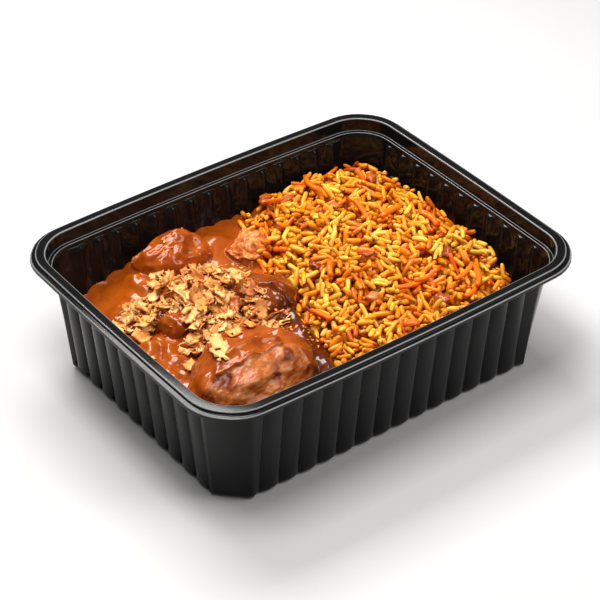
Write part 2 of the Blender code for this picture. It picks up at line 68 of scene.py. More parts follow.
def shade(red: int, green: int, blue: int) -> Colour:
    """Turn a screen colour into the linear colour that a shader takes.

    Args:
        red: the red value from 0 to 255.
        green: the green value from 0 to 255.
        blue: the blue value from 0 to 255.

    Returns:
        The linear colour with full alpha.
    """
    def linear(value: int) -> float:
        """Undo the screen's curve for one value."""
        part = value / 255.0
        return part / 12.92 if part <= 0.04045 else ((part + 0.055) / 1.055) ** 2.4

    return (linear(red), linear(green), linear(blue), 1.0)


def smooth(value: np.ndarray | float) -> np.ndarray | float:
    """Return a smooth step of a value between 0 and 1."""
    part = np.clip(value, 0.0, 1.0)
    return part * part * (3.0 - 2.0 * part)


def waves(x: float, y: float, length: float, phase: float) -> float:
    """Return smooth unevenness between about -1 and 1 for a place on plan."""
    return noise.noise(Vector((x / length, y / length, phase)))


def smooth_max(first: float, second: float, reach: float) -> float:
    """Return the larger of two levels, with a rounded fillet where they meet."""
    gap = max(0.0, 1.0 - abs(first - second) / reach)
    return max(first, second) + gap * gap * reach / 4.0


def path_distance(x: float, y: float, path: Sequence[Place]) -> float:
    """Measure the distance on plan from a place to a path of straight runs.

    Args:
        x: the place in X.
        y: the place in Y.
        path: the path's corners.

    Returns:
        The distance.
    """
    nearest = math.inf
    for (ax, ay), (bx, by) in zip(path, path[1:]):
        run_x, run_y = bx - ax, by - ay
        part = ((x - ax) * run_x + (y - ay) * run_y) / (run_x * run_x + run_y * run_y)
        part = min(1.0, max(0.0, part))
        nearest = min(nearest, math.hypot(x - ax - part * run_x, y - ay - part * run_y))
    return nearest


def make_piece(name: str, points: Iterable[Sequence[float]], faces: Sequence[Sequence[int]]) -> Piece:
    """Make a smooth mesh object at the origin from points in millimetres.

    Args:
        name: the object's name.
        points: its vertices in millimetres.
        faces: its faces as vertex numbers, seen from outside against the clock.

    Returns:
        The new object, linked to the scene.
    """
    mesh = bpy.data.meshes.new(name)
    mesh.from_pydata([tuple(value * MM for value in point) for point in points], [], list(faces))
    mesh.shade_smooth()
    mesh.validate()
    piece = bpy.data.objects.new(name, mesh)
    bpy.context.scene.collection.objects.link(piece)
    return piece


def keep_flats_flat(piece: Piece) -> None:
    """Weigh the shading normals by area, so that flat faces stay flat beside small curves.

    Args:
        piece: the piece, whose normals this sets.
    """
    mesh = piece.data
    flat = np.empty(len(mesh.polygons) * 3)
    area = np.empty(len(mesh.polygons))
    count = np.empty(len(mesh.polygons), dtype=np.int32)
    corner = np.empty(len(mesh.loops), dtype=np.int32)
    mesh.polygons.foreach_get("normal", flat)
    mesh.polygons.foreach_get("area", area)
    mesh.polygons.foreach_get("loop_total", count)
    mesh.loops.foreach_get("vertex_index", corner)
    weighed = np.repeat(flat.reshape(-1, 3) * area[:, None], count, axis=0)
    normals = np.zeros((len(mesh.vertices), 3))
    np.add.at(normals, corner, weighed)
    normals /= np.linalg.norm(normals, axis=1, keepdims=True)
    mesh.normals_split_custom_set_from_vertices([tuple(normal) for normal in normals])


def paint(piece: Piece, name: str, values: Sequence[float]) -> None:
    """Store one number for each vertex, for the piece's material to read."""
    layer = piece.data.attributes.new(name, "FLOAT", "POINT")
    layer.data.foreach_set("value", np.asarray(values, np.float32))


def stand_for(piece: Piece, slot: str, *nodes: str) -> None:
    """Let a piece ride on the part and hide the solids that it replaces.

    Args:
        piece: the finished piece.
        slot: the material slot that it wears; not used.
        nodes: the nodes that it replaces.
    """
    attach(piece, BODY)
    if nodes:
        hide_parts(*nodes)
    LOG.info("%s: %d faces", piece.name, len(piece.data.polygons))


def band(first: Sequence[int], second: Sequence[int]) -> list[tuple[int, ...]]:
    """Return the faces between two closed loops with the same number of vertices."""
    count = len(first)
    return [(first[i], first[(i + 1) % count], second[(i + 1) % count], second[i]) for i in range(count)]


class Graph:
    """A node tree that is being wired."""

    def __init__(self, tree: bpy.types.NodeTree) -> None:
        """Keep the tree that the nodes go in."""
        self.tree = tree

    def add(self, kind: str, values: dict | None = None, **settings: object) -> bpy.types.Node:
        """Add a node.

        Args:
            kind: the node's type.
            values: its inputs, each a number, a colour or another node's output.
            settings: its properties.

        Returns:
            The new node.
        """
        node = self.tree.nodes.new(kind)
        for name, value in settings.items():
            setattr(node, name, value)
        for key, value in (values or {}).items():
            if isinstance(value, Socket):
                self.tree.links.new(value, node.inputs[key])
            else:
                node.inputs[key].default_value = value
        return node

    def value(self, name: str) -> Socket:
        """Read a value that is stored on the mesh."""
        return self.add("ShaderNodeAttribute", attribute_name=name).outputs["Fac"]

    def ramp(self, mask: Socket, stops: Sequence[tuple[float, Colour]]) -> Socket:
        """Turn a mask into colours.

        Args:
            mask: the value that picks the colour.
            stops: places from 0 to 1 and their colours.

        Returns:
            The colour output.
        """
        node = self.add("ShaderNodeValToRGB", {"Fac": mask})
        elements = node.color_ramp.elements
        while len(elements) < len(stops):
            elements.new(0.5)
        for element, (place, colour) in zip(elements, stops):
            element.position = place
            element.color = colour
        return node.outputs["Color"]

    def mix(self, mask: Socket, first: object, second: object) -> Socket:
        """Mix two colours or values by a mask.

        Args:
            mask: 0 for the first, 1 for the second.
            first: a colour or an output.
            second: a colour or an output.

        Returns:
            The mixed output.
        """
        node = self.add("ShaderNodeMix", data_type="RGBA")
        self.tree.links.new(mask, node.inputs["Factor"])
        for socket, value in ((node.inputs[6], first), (node.inputs[7], second)):
            if isinstance(value, Socket):
                self.tree.links.new(value, socket)
            else:
                socket.default_value = value
        return node.outputs[2]

    def span(self, mask: Socket, low: float, high: float) -> Socket:
        """Stretch a mask from 0..1 to another range and return it."""
        node = self.add("ShaderNodeMapRange", {"Value": mask, "To Min": low, "To Max": high})
        return node.outputs["Result"]


def group(name: str, inputs: Sequence[tuple[str, str, float | None]],
          output: tuple[str, str]) -> Graph | None:
    """Start a shader node group with named sockets.

    Args:
        name: the group's name.
        inputs: each input's name, socket type and default value.
        output: the output's name and socket type.

    Returns:
        The group's graph, or None when the group is there already.
    """
    if name in bpy.data.node_groups:
        return None
    tree = bpy.data.node_groups.new(name, "ShaderNodeTree")
    for label, kind, value in inputs:
        socket = tree.interface.new_socket(label, in_out="INPUT", socket_type=kind)
        if value is not None:
            socket.default_value = value
    tree.interface.new_socket(output[0], in_out="OUTPUT", socket_type=output[1])
    return Graph(tree)


def mottle(graph: Graph, vector: Socket, scale: float, low: float, high: float) -> Socket:
    """Add the shared patchy mask to a material.

    Args:
        graph: the material's graph.
        vector: the coordinates.
        scale: patches for each metre.
        low: the noise value that becomes 0.
        high: the noise value that becomes 1.

    Returns:
        The mask output.
    """
    inputs = (("Vector", "NodeSocketVector", None), ("Scale", "NodeSocketFloat", 100.0),
              ("Low", "NodeSocketFloat", 0.3), ("High", "NodeSocketFloat", 0.7))
    inner = group("patchy mask", inputs, ("Mask", "NodeSocketFloat"))
    if inner:
        start = inner.add("NodeGroupInput")
        values = {"Vector": start.outputs["Vector"], "Scale": start.outputs["Scale"], "Detail": 4.0}
        cloud = inner.add("ShaderNodeTexNoise", values)
        values = {"Value": cloud.outputs["Fac"],
                  "From Min": start.outputs["Low"], "From Max": start.outputs["High"]}
        stretch = inner.add("ShaderNodeMapRange", values)
        inner.add("NodeGroupOutput", {"Mask": stretch.outputs["Result"]})
    node = graph.add("ShaderNodeGroup", node_tree=bpy.data.node_groups["patchy mask"])
    graph.tree.links.new(vector, node.inputs["Vector"])
    for key, value in (("Scale", scale), ("Low", low), ("High", high)):
        node.inputs[key].default_value = value
    return node.outputs["Mask"]


def fine_relief(graph: Graph, vector: Socket, scale: float, grit: float) -> Socket:
    """Add the shared two-size relief height to a material.

    Args:
        graph: the material's graph.
        vector: the coordinates.
        scale: coarse bumps for each metre.
        grit: the share of the fine bumps.

    Returns:
        The height output.
    """
    inputs = (("Vector", "NodeSocketVector", None), ("Scale", "NodeSocketFloat", 300.0),
              ("Grit", "NodeSocketFloat", 0.4))
    inner = group("fine relief", inputs, ("Height", "NodeSocketFloat"))
    if inner:
        start = inner.add("NodeGroupInput")
        values = {"Vector": start.outputs["Vector"], "Scale": start.outputs["Scale"], "Detail": 3.0}
        coarse = inner.add("ShaderNodeTexNoise", values)
        finer = inner.add("ShaderNodeMath", {0: start.outputs["Scale"], 1: 3.7}, operation="MULTIPLY")
        values = {"Vector": start.outputs["Vector"], "Scale": finer.outputs[0]}
        cells = inner.add("ShaderNodeTexVoronoi", values)
        share = inner.add("ShaderNodeMath", {0: cells.outputs["Distance"], 1: start.outputs["Grit"]},
                          operation="MULTIPLY")
        total = inner.add("ShaderNodeMath", {0: coarse.outputs["Fac"], 1: share.outputs[0]}, operation="ADD")
        inner.add("NodeGroupOutput", {"Height": total.outputs[0]})
    node = graph.add("ShaderNodeGroup", node_tree=bpy.data.node_groups["fine relief"])
    graph.tree.links.new(vector, node.inputs["Vector"])
    node.inputs["Scale"].default_value = scale
    node.inputs["Grit"].default_value = grit
    return node.outputs["Height"]


def new_material(name: str) -> tuple[Material, Graph, bpy.types.Node, Socket]:
    """Start a material.

    Args:
        name: the material's name.

    Returns:
        The material, its graph, its Principled shader and its Object coordinates.
    """
    material = bpy.data.materials.new(name)
    material.use_nodes = True
    graph = Graph(material.node_tree)
    shader = material.node_tree.nodes["Principled BSDF"]
    place = graph.add("ShaderNodeTexCoord")
    return material, graph, shader, place.outputs["Object"]


def feed(graph: Graph, shader: bpy.types.Node, values: dict) -> None:
    """Set a shader's inputs.

    Args:
        graph: the material's graph.
        shader: the node to set.
        values: a value or another node's output for each input.
    """
    for key, value in values.items():
        if isinstance(value, Socket):
            graph.tree.links.new(value, shader.inputs[key])
        else:
            shader.inputs[key].default_value = value


def bump(graph: Graph, height: Socket, strength: float, depth: float) -> Socket:
    """Turn a height into a normal, for relief of a depth in metres."""
    values = {"Height": height, "Strength": strength, "Distance": depth}
    return graph.add("ShaderNodeBump", values).outputs["Normal"]


@dataclass(frozen=True)
class PlasticFinish:
    """Black thermoformed plastic with a soft gloss, faint handling marks and painted highlight lines along
    its rounded edges.
    """

    colour: Colour = (0.006, 0.006, 0.0063, 1.0)
    worn: Colour = (0.009, 0.009, 0.0093, 1.0)
    painted_highlight_grey: Colour = (0.28, 0.28, 0.285, 1.0)
    gloss: float = 0.09
    dull: float = 0.12
    mirror: float = 0.3
    skin_depth: float = 0.00003

    def material(self) -> Material:
        """Build the material.

        Returns:
            The material.
        """
        material, graph, shader, place = new_material("black plastic")
        smudge = mottle(graph, place, 45.0, 0.35, 0.7)
        skin = fine_relief(graph, place, 900.0, 0.35)
        # Painted highlight: light grey lines along the rounded edges, where the lights would glint.
        edge = graph.value("painted_highlight")
        plain = graph.mix(smudge, self.colour, self.worn)
        feed(graph, shader, {
            "Base Color": graph.mix(edge, plain, self.painted_highlight_grey),
            "Roughness": graph.span(smudge, self.gloss, self.dull),
            "Normal": bump(graph, skin, 0.2, self.skin_depth),
            "IOR": 1.45,
            "Specular IOR Level": self.mirror,
        })
        return material


@dataclass(frozen=True)
class SauceFinish:
    """Thick glossy sauce in patchy tones, darker where it lies low, with painted shade beside the rice."""

    light: Colour = shade(178, 90, 15)
    body: Colour = shade(150, 68, 9)
    deep_and_shaded: Colour = shade(80, 26, 3)
    swirl_share: float = 7.0
    relief: float = 0.00012
    mirror: float = 0.16
    coat: float = 0.66

    def material(self) -> Material:
        """Build the material.

        Returns:
            The material.
        """
        material, graph, shader, place = new_material("peanut sauce")
        broad = mottle(graph, place, 38.0, 0.32, 0.7)
        speck = mottle(graph, place, 520.0, 0.6, 0.75)
        # Painted shade: the stored darkness darkens the sauce where it lies low and beside the rice; the
        # dark tone also colours the specks.
        depth = graph.value("deep_and_shaded")
        film = graph.mix(broad, self.light, self.body)
        mixed = graph.mix(depth, film, self.deep_and_shaded)
        drawn = graph.add("ShaderNodeMapping", {"Vector": place, "Scale": (1.0, 0.5, 1.0),
                                                "Rotation": (0.0, 0.0, 0.3)}).outputs["Vector"]
        swirl = fine_relief(graph, drawn, 150.0, 0.0)
        grain = fine_relief(graph, place, 420.0, 0.3)
        values = {0: swirl, 1: self.swirl_share, 2: grain}
        height = graph.add("ShaderNodeMath", values, operation="MULTIPLY_ADD").outputs[0]
        feed(graph, shader, {
            "Base Color": graph.mix(graph.span(speck, 0.0, 0.35), mixed, self.deep_and_shaded),
            "Roughness": graph.span(broad, 0.24, 0.34),
            "Normal": bump(graph, height, 0.6, self.relief),
            "Specular IOR Level": self.mirror,
            "Coat Weight": self.coat,
            "Coat Roughness": 0.035,
            "IOR": 1.47,
        })
        return material


@dataclass(frozen=True)
class ChickenFinish:
    """Cooked chicken: fibrous flesh with browned patches, under glossy sauce in places, with painted shade
    on the sauce.
    """

    flesh: Colour = shade(216, 130, 60)
    tan: Colour = shade(192, 94, 32)
    streak: Colour = shade(244, 180, 118)
    browned: Colour = shade(112, 42, 10)
    sauce: Colour = shade(176, 88, 15)
    sauce_dark: Colour = shade(152, 66, 9)
    sauce_shaded: Colour = shade(78, 28, 3)
    bare_coat: float = 0.2
    sauce_coat: float = 0.66
    relief: float = 0.0002

    def material(self) -> Material:
        """Build the material.

        Returns:
            The material.
        """
        material, graph, shader, place = new_material("grilled chicken")
        coat = graph.value("sauce")
        sear = graph.value("browned")
        depth = graph.value("deep_and_shaded")
        along = graph.add("ShaderNodeMapping", {"Vector": place, "Scale": (0.4, 1.0, 1.0),
                                                "Rotation": (0.0, 0.0, 0.35)}).outputs["Vector"]
        fibre = mottle(graph, along, 760.0, 0.44, 0.6)
        patch = mottle(graph, place, 170.0, 0.35, 0.7)
        bare = graph.mix(patch, self.flesh, self.tan)
        bare = graph.mix(graph.span(fibre, 0.0, 0.55), bare, self.streak)
        bare = graph.mix(sear, bare, self.browned)
        covered = graph.mix(patch, self.sauce, self.sauce_dark)
        # Painted shade darkens the sauce on the chicken by the stored darkness.
        covered = graph.mix(depth, covered, self.sauce_shaded)
        fibres, film = fine_relief(graph, along, 620.0, 0.5), fine_relief(graph, place, 420.0, 0.2)
        height = graph.mix(coat, fibres, film)
        feed(graph, shader, {
            "Base Color": graph.mix(coat, bare, covered),
            "Roughness": graph.span(coat, 0.4, 0.28),
            "Specular IOR Level": graph.span(coat, 0.26, 0.16),
            "Coat Weight": graph.span(coat, self.bare_coat, self.sauce_coat),
            "Coat Roughness": 0.04,
            "Normal": bump(graph, height, 0.35, self.relief),
            "IOR": 1.46,
        })
        return material


@dataclass(frozen=True)
class MorselFinish:
    """A small moist piece whose colour runs through a few tones by its own tint."""

    name: str
    tones: tuple[tuple[float, Colour], ...]
    roughness: float = 0.3
    gloss: float = 0.25
    glow: float = 0.2
    scale: float = 700.0
    relief: float = 0.00012

    def material(self) -> Material:
        """Build the material.

        Returns:
            The material.
        """
        material, graph, shader, place = new_material(self.name)
        tint = graph.value("tint")
        patch = mottle(graph, place, self.scale * 0.4, 0.3, 0.7)
        wander = graph.span(patch, -0.16, 0.16)
        tone = graph.add("ShaderNodeMath", {0: tint, 1: wander}, operation="ADD", use_clamp=True).outputs[0]
        skin = fine_relief(graph, place, self.scale, 0.4)
        feed(graph, shader, {
            "Base Color": graph.ramp(tone, self.tones),
            "Roughness": graph.span(patch, self.roughness - 0.06, self.roughness + 0.08),
            "Normal": bump(graph, skin, 0.3, self.relief),
            "Subsurface Weight": self.glow,
            "Subsurface Radius": (1.0, 0.5, 0.15),
            "Subsurface Scale": 0.0015,
            "Specular IOR Level": 0.36,
            "Coat Weight": self.gloss,
            "Coat Roughness": 0.1,
            "IOR": 1.45,
        })
        return material


@dataclass(frozen=True)
class OnionFinish:
    """Dry crisp onion flake: pale in the middle, golden to brown at its edges."""

    pale: Colour = shade(252, 216, 142)
    golden: Colour = shade(234, 162, 78)
    brown: Colour = shade(172, 84, 28)

    def material(self) -> Material:
        """Build the material.

        Returns:
            The material.
        """
        material, graph, shader, place = new_material("fried onion")
        tint = graph.value("tint")
        edge = graph.value("edge")
        blister = mottle(graph, place, 480.0, 0.35, 0.68)
        tone = graph.add("ShaderNodeMath", {0: tint, 1: graph.span(blister, -0.25, 0.25)}, operation="ADD",
                         use_clamp=True).outputs[0]
        body = graph.ramp(tone, ((0.0, self.pale), (0.5, self.golden), (1.0, self.brown)))
        rim = graph.mix(graph.span(edge, 0.0, 0.42), body, self.brown)
        skin = fine_relief(graph, place, 800.0, 0.5)
        feed(graph, shader, {
            "Base Color": rim,
            "Roughness": graph.span(blister, 0.42, 0.6),
            "Normal": bump(graph, skin, 0.45, 0.0002),
            "Subsurface Weight": 0.15,
            "Subsurface Radius": (1.0, 0.6, 0.25),
            "Subsurface Scale": 0.001,
        })
        return material


@dataclass
class Tray:
    """The thermoformed tray: flat rim, skirt, ledge, fluted walls and flat base."""

    height: float = 66.0
    ring_length: float = 219.8
    ring_width: float = 173.2
    ring_radius: float = 23.4
    radius_shrink: float = 0.75
    bow_long: float = 2.56
    bow_short: float = 0.97
    bow_from: float = 0.5
    sheet: float = 0.8
    ring_flat: float = 4.6
    skirt_reach: float = 2.55
    skirt_drop: float = 3.5
    ledge_level: float = 59.0
    ledge_outer_inset: float = 5.3
    ledge_inner_inset: float = 7.2
    ring_step: float = 1.6
    skirt_fall: float = 0.3
    skirt_round: float = 0.4
    ledge_curve: Place = (0.34, 0.4)
    rim_curve: float = 0.7
    step_curve: float = 0.4
    skirt_curve: float = 0.6
    plain_band: tuple[float, ...] = (0.0, 0.4, 0.8)
    flute_top: float = 57.0
    flute_shoulder: float = 54.2
    ridge_top: float = 56.6
    wall_inset_top: float = 7.4
    wall_inset_base: float = 12.2
    base_round: float = 2.2
    flute_depth: float = 2.0
    flute_fullness: float = 0.55
    inner_crest: float = 0.075
    flutes_long: int = 14
    flutes_short: int = 10
    pitch_long: float = 11.33
    pitch_short: float = 11.77
    corner_cut: float = 14.0
    corner_steps: int = 10
    flute_parts: tuple[float, ...] = (0.0, 0.03, 0.08, 0.16, 0.28, 0.42, 0.58, 0.72, 0.84, 0.92, 0.97)
    wall_steps: int = 8
    shoulder_steps: int = 8
    round_steps: int = 4

    def wall_inset(self, level: float) -> float:
        """Return how far in the inner wall's flutes lie at a level."""
        slope = (self.wall_inset_base - self.wall_inset_top) / self.flute_top
        return self.wall_inset_base - slope * level

    def bowed(self, x: float, y: float, half_x: float, half_y: float, share: float) -> Place:
        """Push a point of a straight side out along the rim's shallow bow.

        Args:
            x: the place in X.
            y: the place in Y.
            half_x: the line's reach in X.
            half_y: the line's reach in Y.
            share: the share of the bow at this level.

        Returns:
            The moved point.
        """
        bow_y = share * self.bow_long * (1.0 - min(1.0, (x / half_x) ** 2))
        bow_x = share * self.bow_short * (1.0 - min(1.0, (y / half_y) ** 2))
        if abs(y) / half_y > abs(x) / half_x:
            return (x, y + math.copysign(bow_y, y)) if abs(y) > self.bow_from * half_y else (x, y)
        return (x + math.copysign(bow_x, x), y) if abs(x) > self.bow_from * half_x else (x, y)

    def loop(self, inset: float, level: float, depth: float, crest_share: float) -> list[Point]:
        """Return one closed line round the tray.

        Args:
            inset: the distance in from the rim's outer line to the flutes' crests.
            level: the height above the table.
            depth: how deep the grooves between the flutes are there.
            crest_share: the part of a flute's width that is flat at each end.

        Returns:
            The line's points, seen from above against the clock.
        """
        half_x = self.ring_length / 2 - inset
        half_y = self.ring_width / 2 - inset
        share = level / self.height
        above = (level - self.flute_top) / (self.ledge_level - self.flute_top)
        roundness = share + (1.0 - share) * float(smooth(above))
        radius = self.ring_radius - self.radius_shrink * inset
        corner_cut = self.corner_cut - self.radius_shrink * (inset - self.wall_inset_base)
        points = []
        sides = (
            (0.0, self.flutes_long, self.pitch_long, half_y, half_x),
            (90.0, self.flutes_short, self.pitch_short, half_x, half_y),
            (180.0, self.flutes_long, self.pitch_long, half_y, half_x),
            (270.0, self.flutes_short, self.pitch_short, half_x, half_y),
        )
        for turn, count, pitch, crest, reach in sides:
            cos, sin = math.cos(math.radians(turn)), math.sin(math.radians(turn))
            flat = []
            for flute in range(count):
                for part in self.flute_parts:
                    swell = min(1.0, max(0.0, (part - crest_share) / (1.0 - 2.0 * crest_share)))
                    hollow = math.sin(math.pi * swell) ** self.flute_fullness if 0.0 < swell < 1.0 else 0.0
                    flat.append(((flute + part - count / 2) * pitch, -(crest - depth * (1.0 - hollow))))
            flat.append((count / 2 * pitch, -(crest - depth)))
            for step in range(self.corner_steps + 1):
                part = step / self.corner_steps
                angle = math.radians(-90.0 + 90.0 * part)
                arc = (reach - radius + radius * math.cos(angle), -crest + radius + radius * math.sin(angle))
                plain = (reach - corner_cut * (1.0 - part), -crest + corner_cut * part)
                flat.append(tuple(a * roundness + p * (1.0 - roundness) for a, p in zip(arc, plain)))
            points += [(x * cos - y * sin, x * sin + y * cos) for x, y in flat]
        return [(*self.bowed(x, y, half_x, half_y, share), level) for x, y in points]

    def groove_depth(self, level: float) -> float:
        """Return the grooves' depth, which ends in a rounded shoulder under the ledge."""
        part = (level - self.flute_shoulder) / (self.ridge_top - self.flute_shoulder)
        return self.flute_depth * math.sqrt(max(0.0, 1.0 - max(0.0, part) ** 2))

    def rounded(self, path: Sequence[tuple[float, ...]]) -> list[Point]:
        """Turn the corners of a profile into small curves.

        Args:
            path: each corner as its inset, its level, the size of its curve and its painted highlight.

        Returns:
            The profile's (inset, level, painted highlight) places.
        """
        made = [(*path[0][:2], 0.0)]
        for before, here, after in zip(path, path[1:], path[2:]):
            if here[2] == 0.0:
                made.append((*here[:2], 0.0))
                continue
            corner = Vector(here[:2])
            back, ahead = Vector(before[:2]) - corner, Vector(after[:2]) - corner
            size = min(here[2], 0.49 * back.length, 0.49 * ahead.length)
            start, end = corner + back.normalized() * size, corner + ahead.normalized() * size
            for step in range(self.round_steps + 1):
                part = step / self.round_steps
                curve = start * (1 - part) ** 2 + corner * 2 * part * (1 - part) + end * part ** 2
                made.append((curve.x, curve.y, here[3] * math.sin(math.pi * part)))
        return [*made, (*path[-1][:2], 0.0)]

    def profile(self, outwards: bool) -> list[Point]:
        """Trace one face of the sheet from the base to the lip.

        Args:
            outwards: whether it is the outer face.

        Returns:
            The profile's (inset, level, painted highlight) places.
        """
        shift = self.sheet if outwards else 0.0
        floor = 0.0 if outwards else self.sheet
        under = self.height - shift
        wall_end = self.flute_shoulder
        path = [(self.wall_inset_base + 3.0 * self.base_round - shift, floor, 0.0),
                (self.wall_inset_base - shift, floor, 1.4 * self.base_round, 0.0)]
        for step in range(1, self.wall_steps):
            level = wall_end * step / self.wall_steps
            path.append((self.wall_inset(level) - shift, level, 0.0))
        top = self.ledge_level - shift / 2
        for step in range(self.shoulder_steps):
            part = math.sin(math.pi / 2 * step / (self.shoulder_steps - 1))
            level = wall_end + (self.ridge_top - wall_end) * part
            path.append((self.wall_inset(level) - shift, level, 0.0))
        for rise in self.plain_band:
            level = self.flute_top + rise
            path.append((self.wall_inset(level) - shift, level, 0.0))
        skirt, step_level = shift - self.skirt_reach, under - self.ring_step
        # The last number of each corner is its painted highlight, a light grey line along its curve.
        path += [
            (self.ledge_inner_inset - shift, top, self.ledge_curve[0], 1.0),
            (self.ledge_outer_inset - shift, self.ledge_level - shift, self.ledge_curve[1], 0.6),
            (self.ring_flat - shift, under, self.rim_curve, 1.0),
            (shift, under, self.rim_curve, 1.0),
            (shift, step_level, self.step_curve, 0.0),
            (skirt + self.skirt_round, step_level - self.skirt_fall, self.skirt_curve, 1.0),
            (skirt, self.height - self.skirt_drop, 0.0),
        ]
        return self.rounded(path)

    def build(self, material: Material) -> Piece:
        """Build the tray as one sheet with an inner and an outer face.

        Args:
            material: the finish.

        Returns:
            The tray.
        """
        points: list[Point] = []
        faces: Faces = []
        painted_highlight: list[float] = []

        def skin(outwards: bool) -> list[list[int]]:
            """Add the points of one face of the sheet.

            Args:
                outwards: whether it is the outer face.

            Returns:
                The vertex numbers of each line round the tray.
            """
            loops = []
            for inset, level, edge_highlight in self.profile(outwards):
                crest_share = 0.0 if outwards else self.inner_crest
                line = self.loop(inset, level, self.groove_depth(level), crest_share)
                loops.append(list(range(len(points), len(points) + len(line))))
                points.extend(line)
                # Only the inner face gets the painted highlight.
                painted_highlight.extend([0.0 if outwards else edge_highlight] * len(line))
            return loops

        inner, outer = skin(False), skin(True)
        for lower, upper in zip(inner, inner[1:]):
            faces += band(upper, lower)
        for lower, upper in zip(outer, outer[1:]):
            faces += band(lower, upper)
        faces += band(outer[-1], inner[-1])
        faces += [inner[0], list(reversed(outer[0]))]
        piece = make_piece("tray_shell", points, faces)
        paint(piece, "painted_highlight", painted_highlight)
        keep_flats_flat(piece)
        piece.data.materials.append(material)
        return piece


@dataclass
class Cavity:
    """The space inside the fluted walls, which the food fills up to the sheet."""

    tray: Tray
    level: float = 37.0
    near: float = 7.0
    into_sheet: float = 0.1
    corner_radius: float = 16.4
    reach_x: float = field(init=False)
    reach_y: float = field(init=False)
    long_grooves: tuple[np.ndarray, np.ndarray] = field(init=False)
    short_grooves: tuple[np.ndarray, np.ndarray] = field(init=False)

    def __post_init__(self) -> None:
        """Measure the tray's inner walls at one level."""
        inset = self.tray.wall_inset(self.level)
        self.reach_x = self.tray.ring_length / 2 - inset
        self.reach_y = self.tray.ring_width / 2 - inset
        straight = np.array(self.tray.loop(inset, self.level, 0.0, 0.0))
        fluted = np.array(self.tray.loop(inset, self.level, self.tray.flute_depth, self.tray.inner_crest))
        far = straight[:, 1] > self.reach_y - 2.0
        order = np.argsort(straight[far, 0])
        self.long_grooves = (straight[far][order, 0], (straight[far] - fluted[far])[order, 1])
        right = straight[:, 0] > self.reach_x - 2.0
        order = np.argsort(straight[right, 1])
        self.short_grooves = (straight[right][order, 1], (straight[right] - fluted[right])[order, 0])

    def reach_beside(self, y: float) -> float:
        """Return the reach in X at a place along Y, on the plain rounded outline."""
        over = min(self.corner_radius, max(0.0, abs(y) - self.reach_y + self.corner_radius))
        return self.reach_x - self.corner_radius + math.sqrt(self.corner_radius ** 2 - over ** 2)

    def corner(self, x: float, y: float, z: float, half_x: float, half_y: float) -> Place:
        """Return how far a place in a corner moves to meet the wall there.

        Args:
            x: its distance from the corner's middle in X.
            y: its distance from the corner's middle in Y.
            z: its level.
            half_x: the wall's reach in X at that level.
            half_y: the wall's reach in Y at that level.

        Returns:
            The move outwards in X and in Y.
        """
        inset = self.tray.wall_inset(z)
        share = z / self.tray.height
        radius = self.tray.ring_radius - self.tray.radius_shrink * inset
        cut = self.tray.corner_cut - self.tray.radius_shrink * (inset - self.tray.wall_inset_base)
        turn = math.atan2(y, x)
        part = turn / (math.pi / 2)
        cos, sin = math.cos(turn), math.sin(turn)
        arc = (half_x - radius + radius * cos, half_y - radius + radius * sin)
        plain = (half_x - cut * part, half_y - cut * (1.0 - part))
        near = float(smooth(1.0 - (self.corner_radius - math.hypot(x, y)) / self.near))
        made = []
        for index, (way, reach) in enumerate(((cos, self.reach_x), (sin, self.reach_y))):
            wall = arc[index] * share + plain[index] * (1.0 - share)
            here = reach - self.corner_radius + self.corner_radius * way
            made.append(near * (wall - here + self.into_sheet * way))
        return made[0], made[1]

    def fitted(self, x: float, y: float, z: float) -> Point:
        """Move a place on the plain outline to where the bowed, sloping, fluted wall has it.

        Args:
            x: its place on the plain outline.
            y: its place on the plain outline.
            z: its level.

        Returns:
            The place inside the tray.
        """
        inset = self.tray.wall_inset(z)
        half_x, half_y = self.tray.ring_length / 2 - inset, self.tray.ring_width / 2 - inset
        share = z / self.tray.height
        near_x = float(smooth(1.0 - (self.reach_x - abs(x)) / self.near))
        near_y = float(smooth(1.0 - (self.reach_y - abs(y)) / self.near))
        out_x = near_x * share * self.tray.bow_short * (1.0 - min(1.0, (y / self.reach_y) ** 2))
        out_y = near_y * share * self.tray.bow_long * (1.0 - min(1.0, (x / self.reach_x) ** 2))
        middle_x, middle_y = self.reach_x - self.corner_radius, self.reach_y - self.corner_radius
        if abs(x) > middle_x and abs(y) > middle_y:
            move_x, move_y = self.corner(abs(x) - middle_x, abs(y) - middle_y, z, half_x, half_y)
            out_x += move_x
            out_y += move_y
        else:
            short, long = np.interp(y, *self.short_grooves), np.interp(x, *self.long_grooves)
            out_x += near_x * (half_x - self.reach_x + self.into_sheet - float(short))
            out_y += near_y * (half_y - self.reach_y + self.into_sheet - float(long))
        return (x + math.copysign(1.0, x) * out_x, y + math.copysign(1.0, y) * out_y, z)


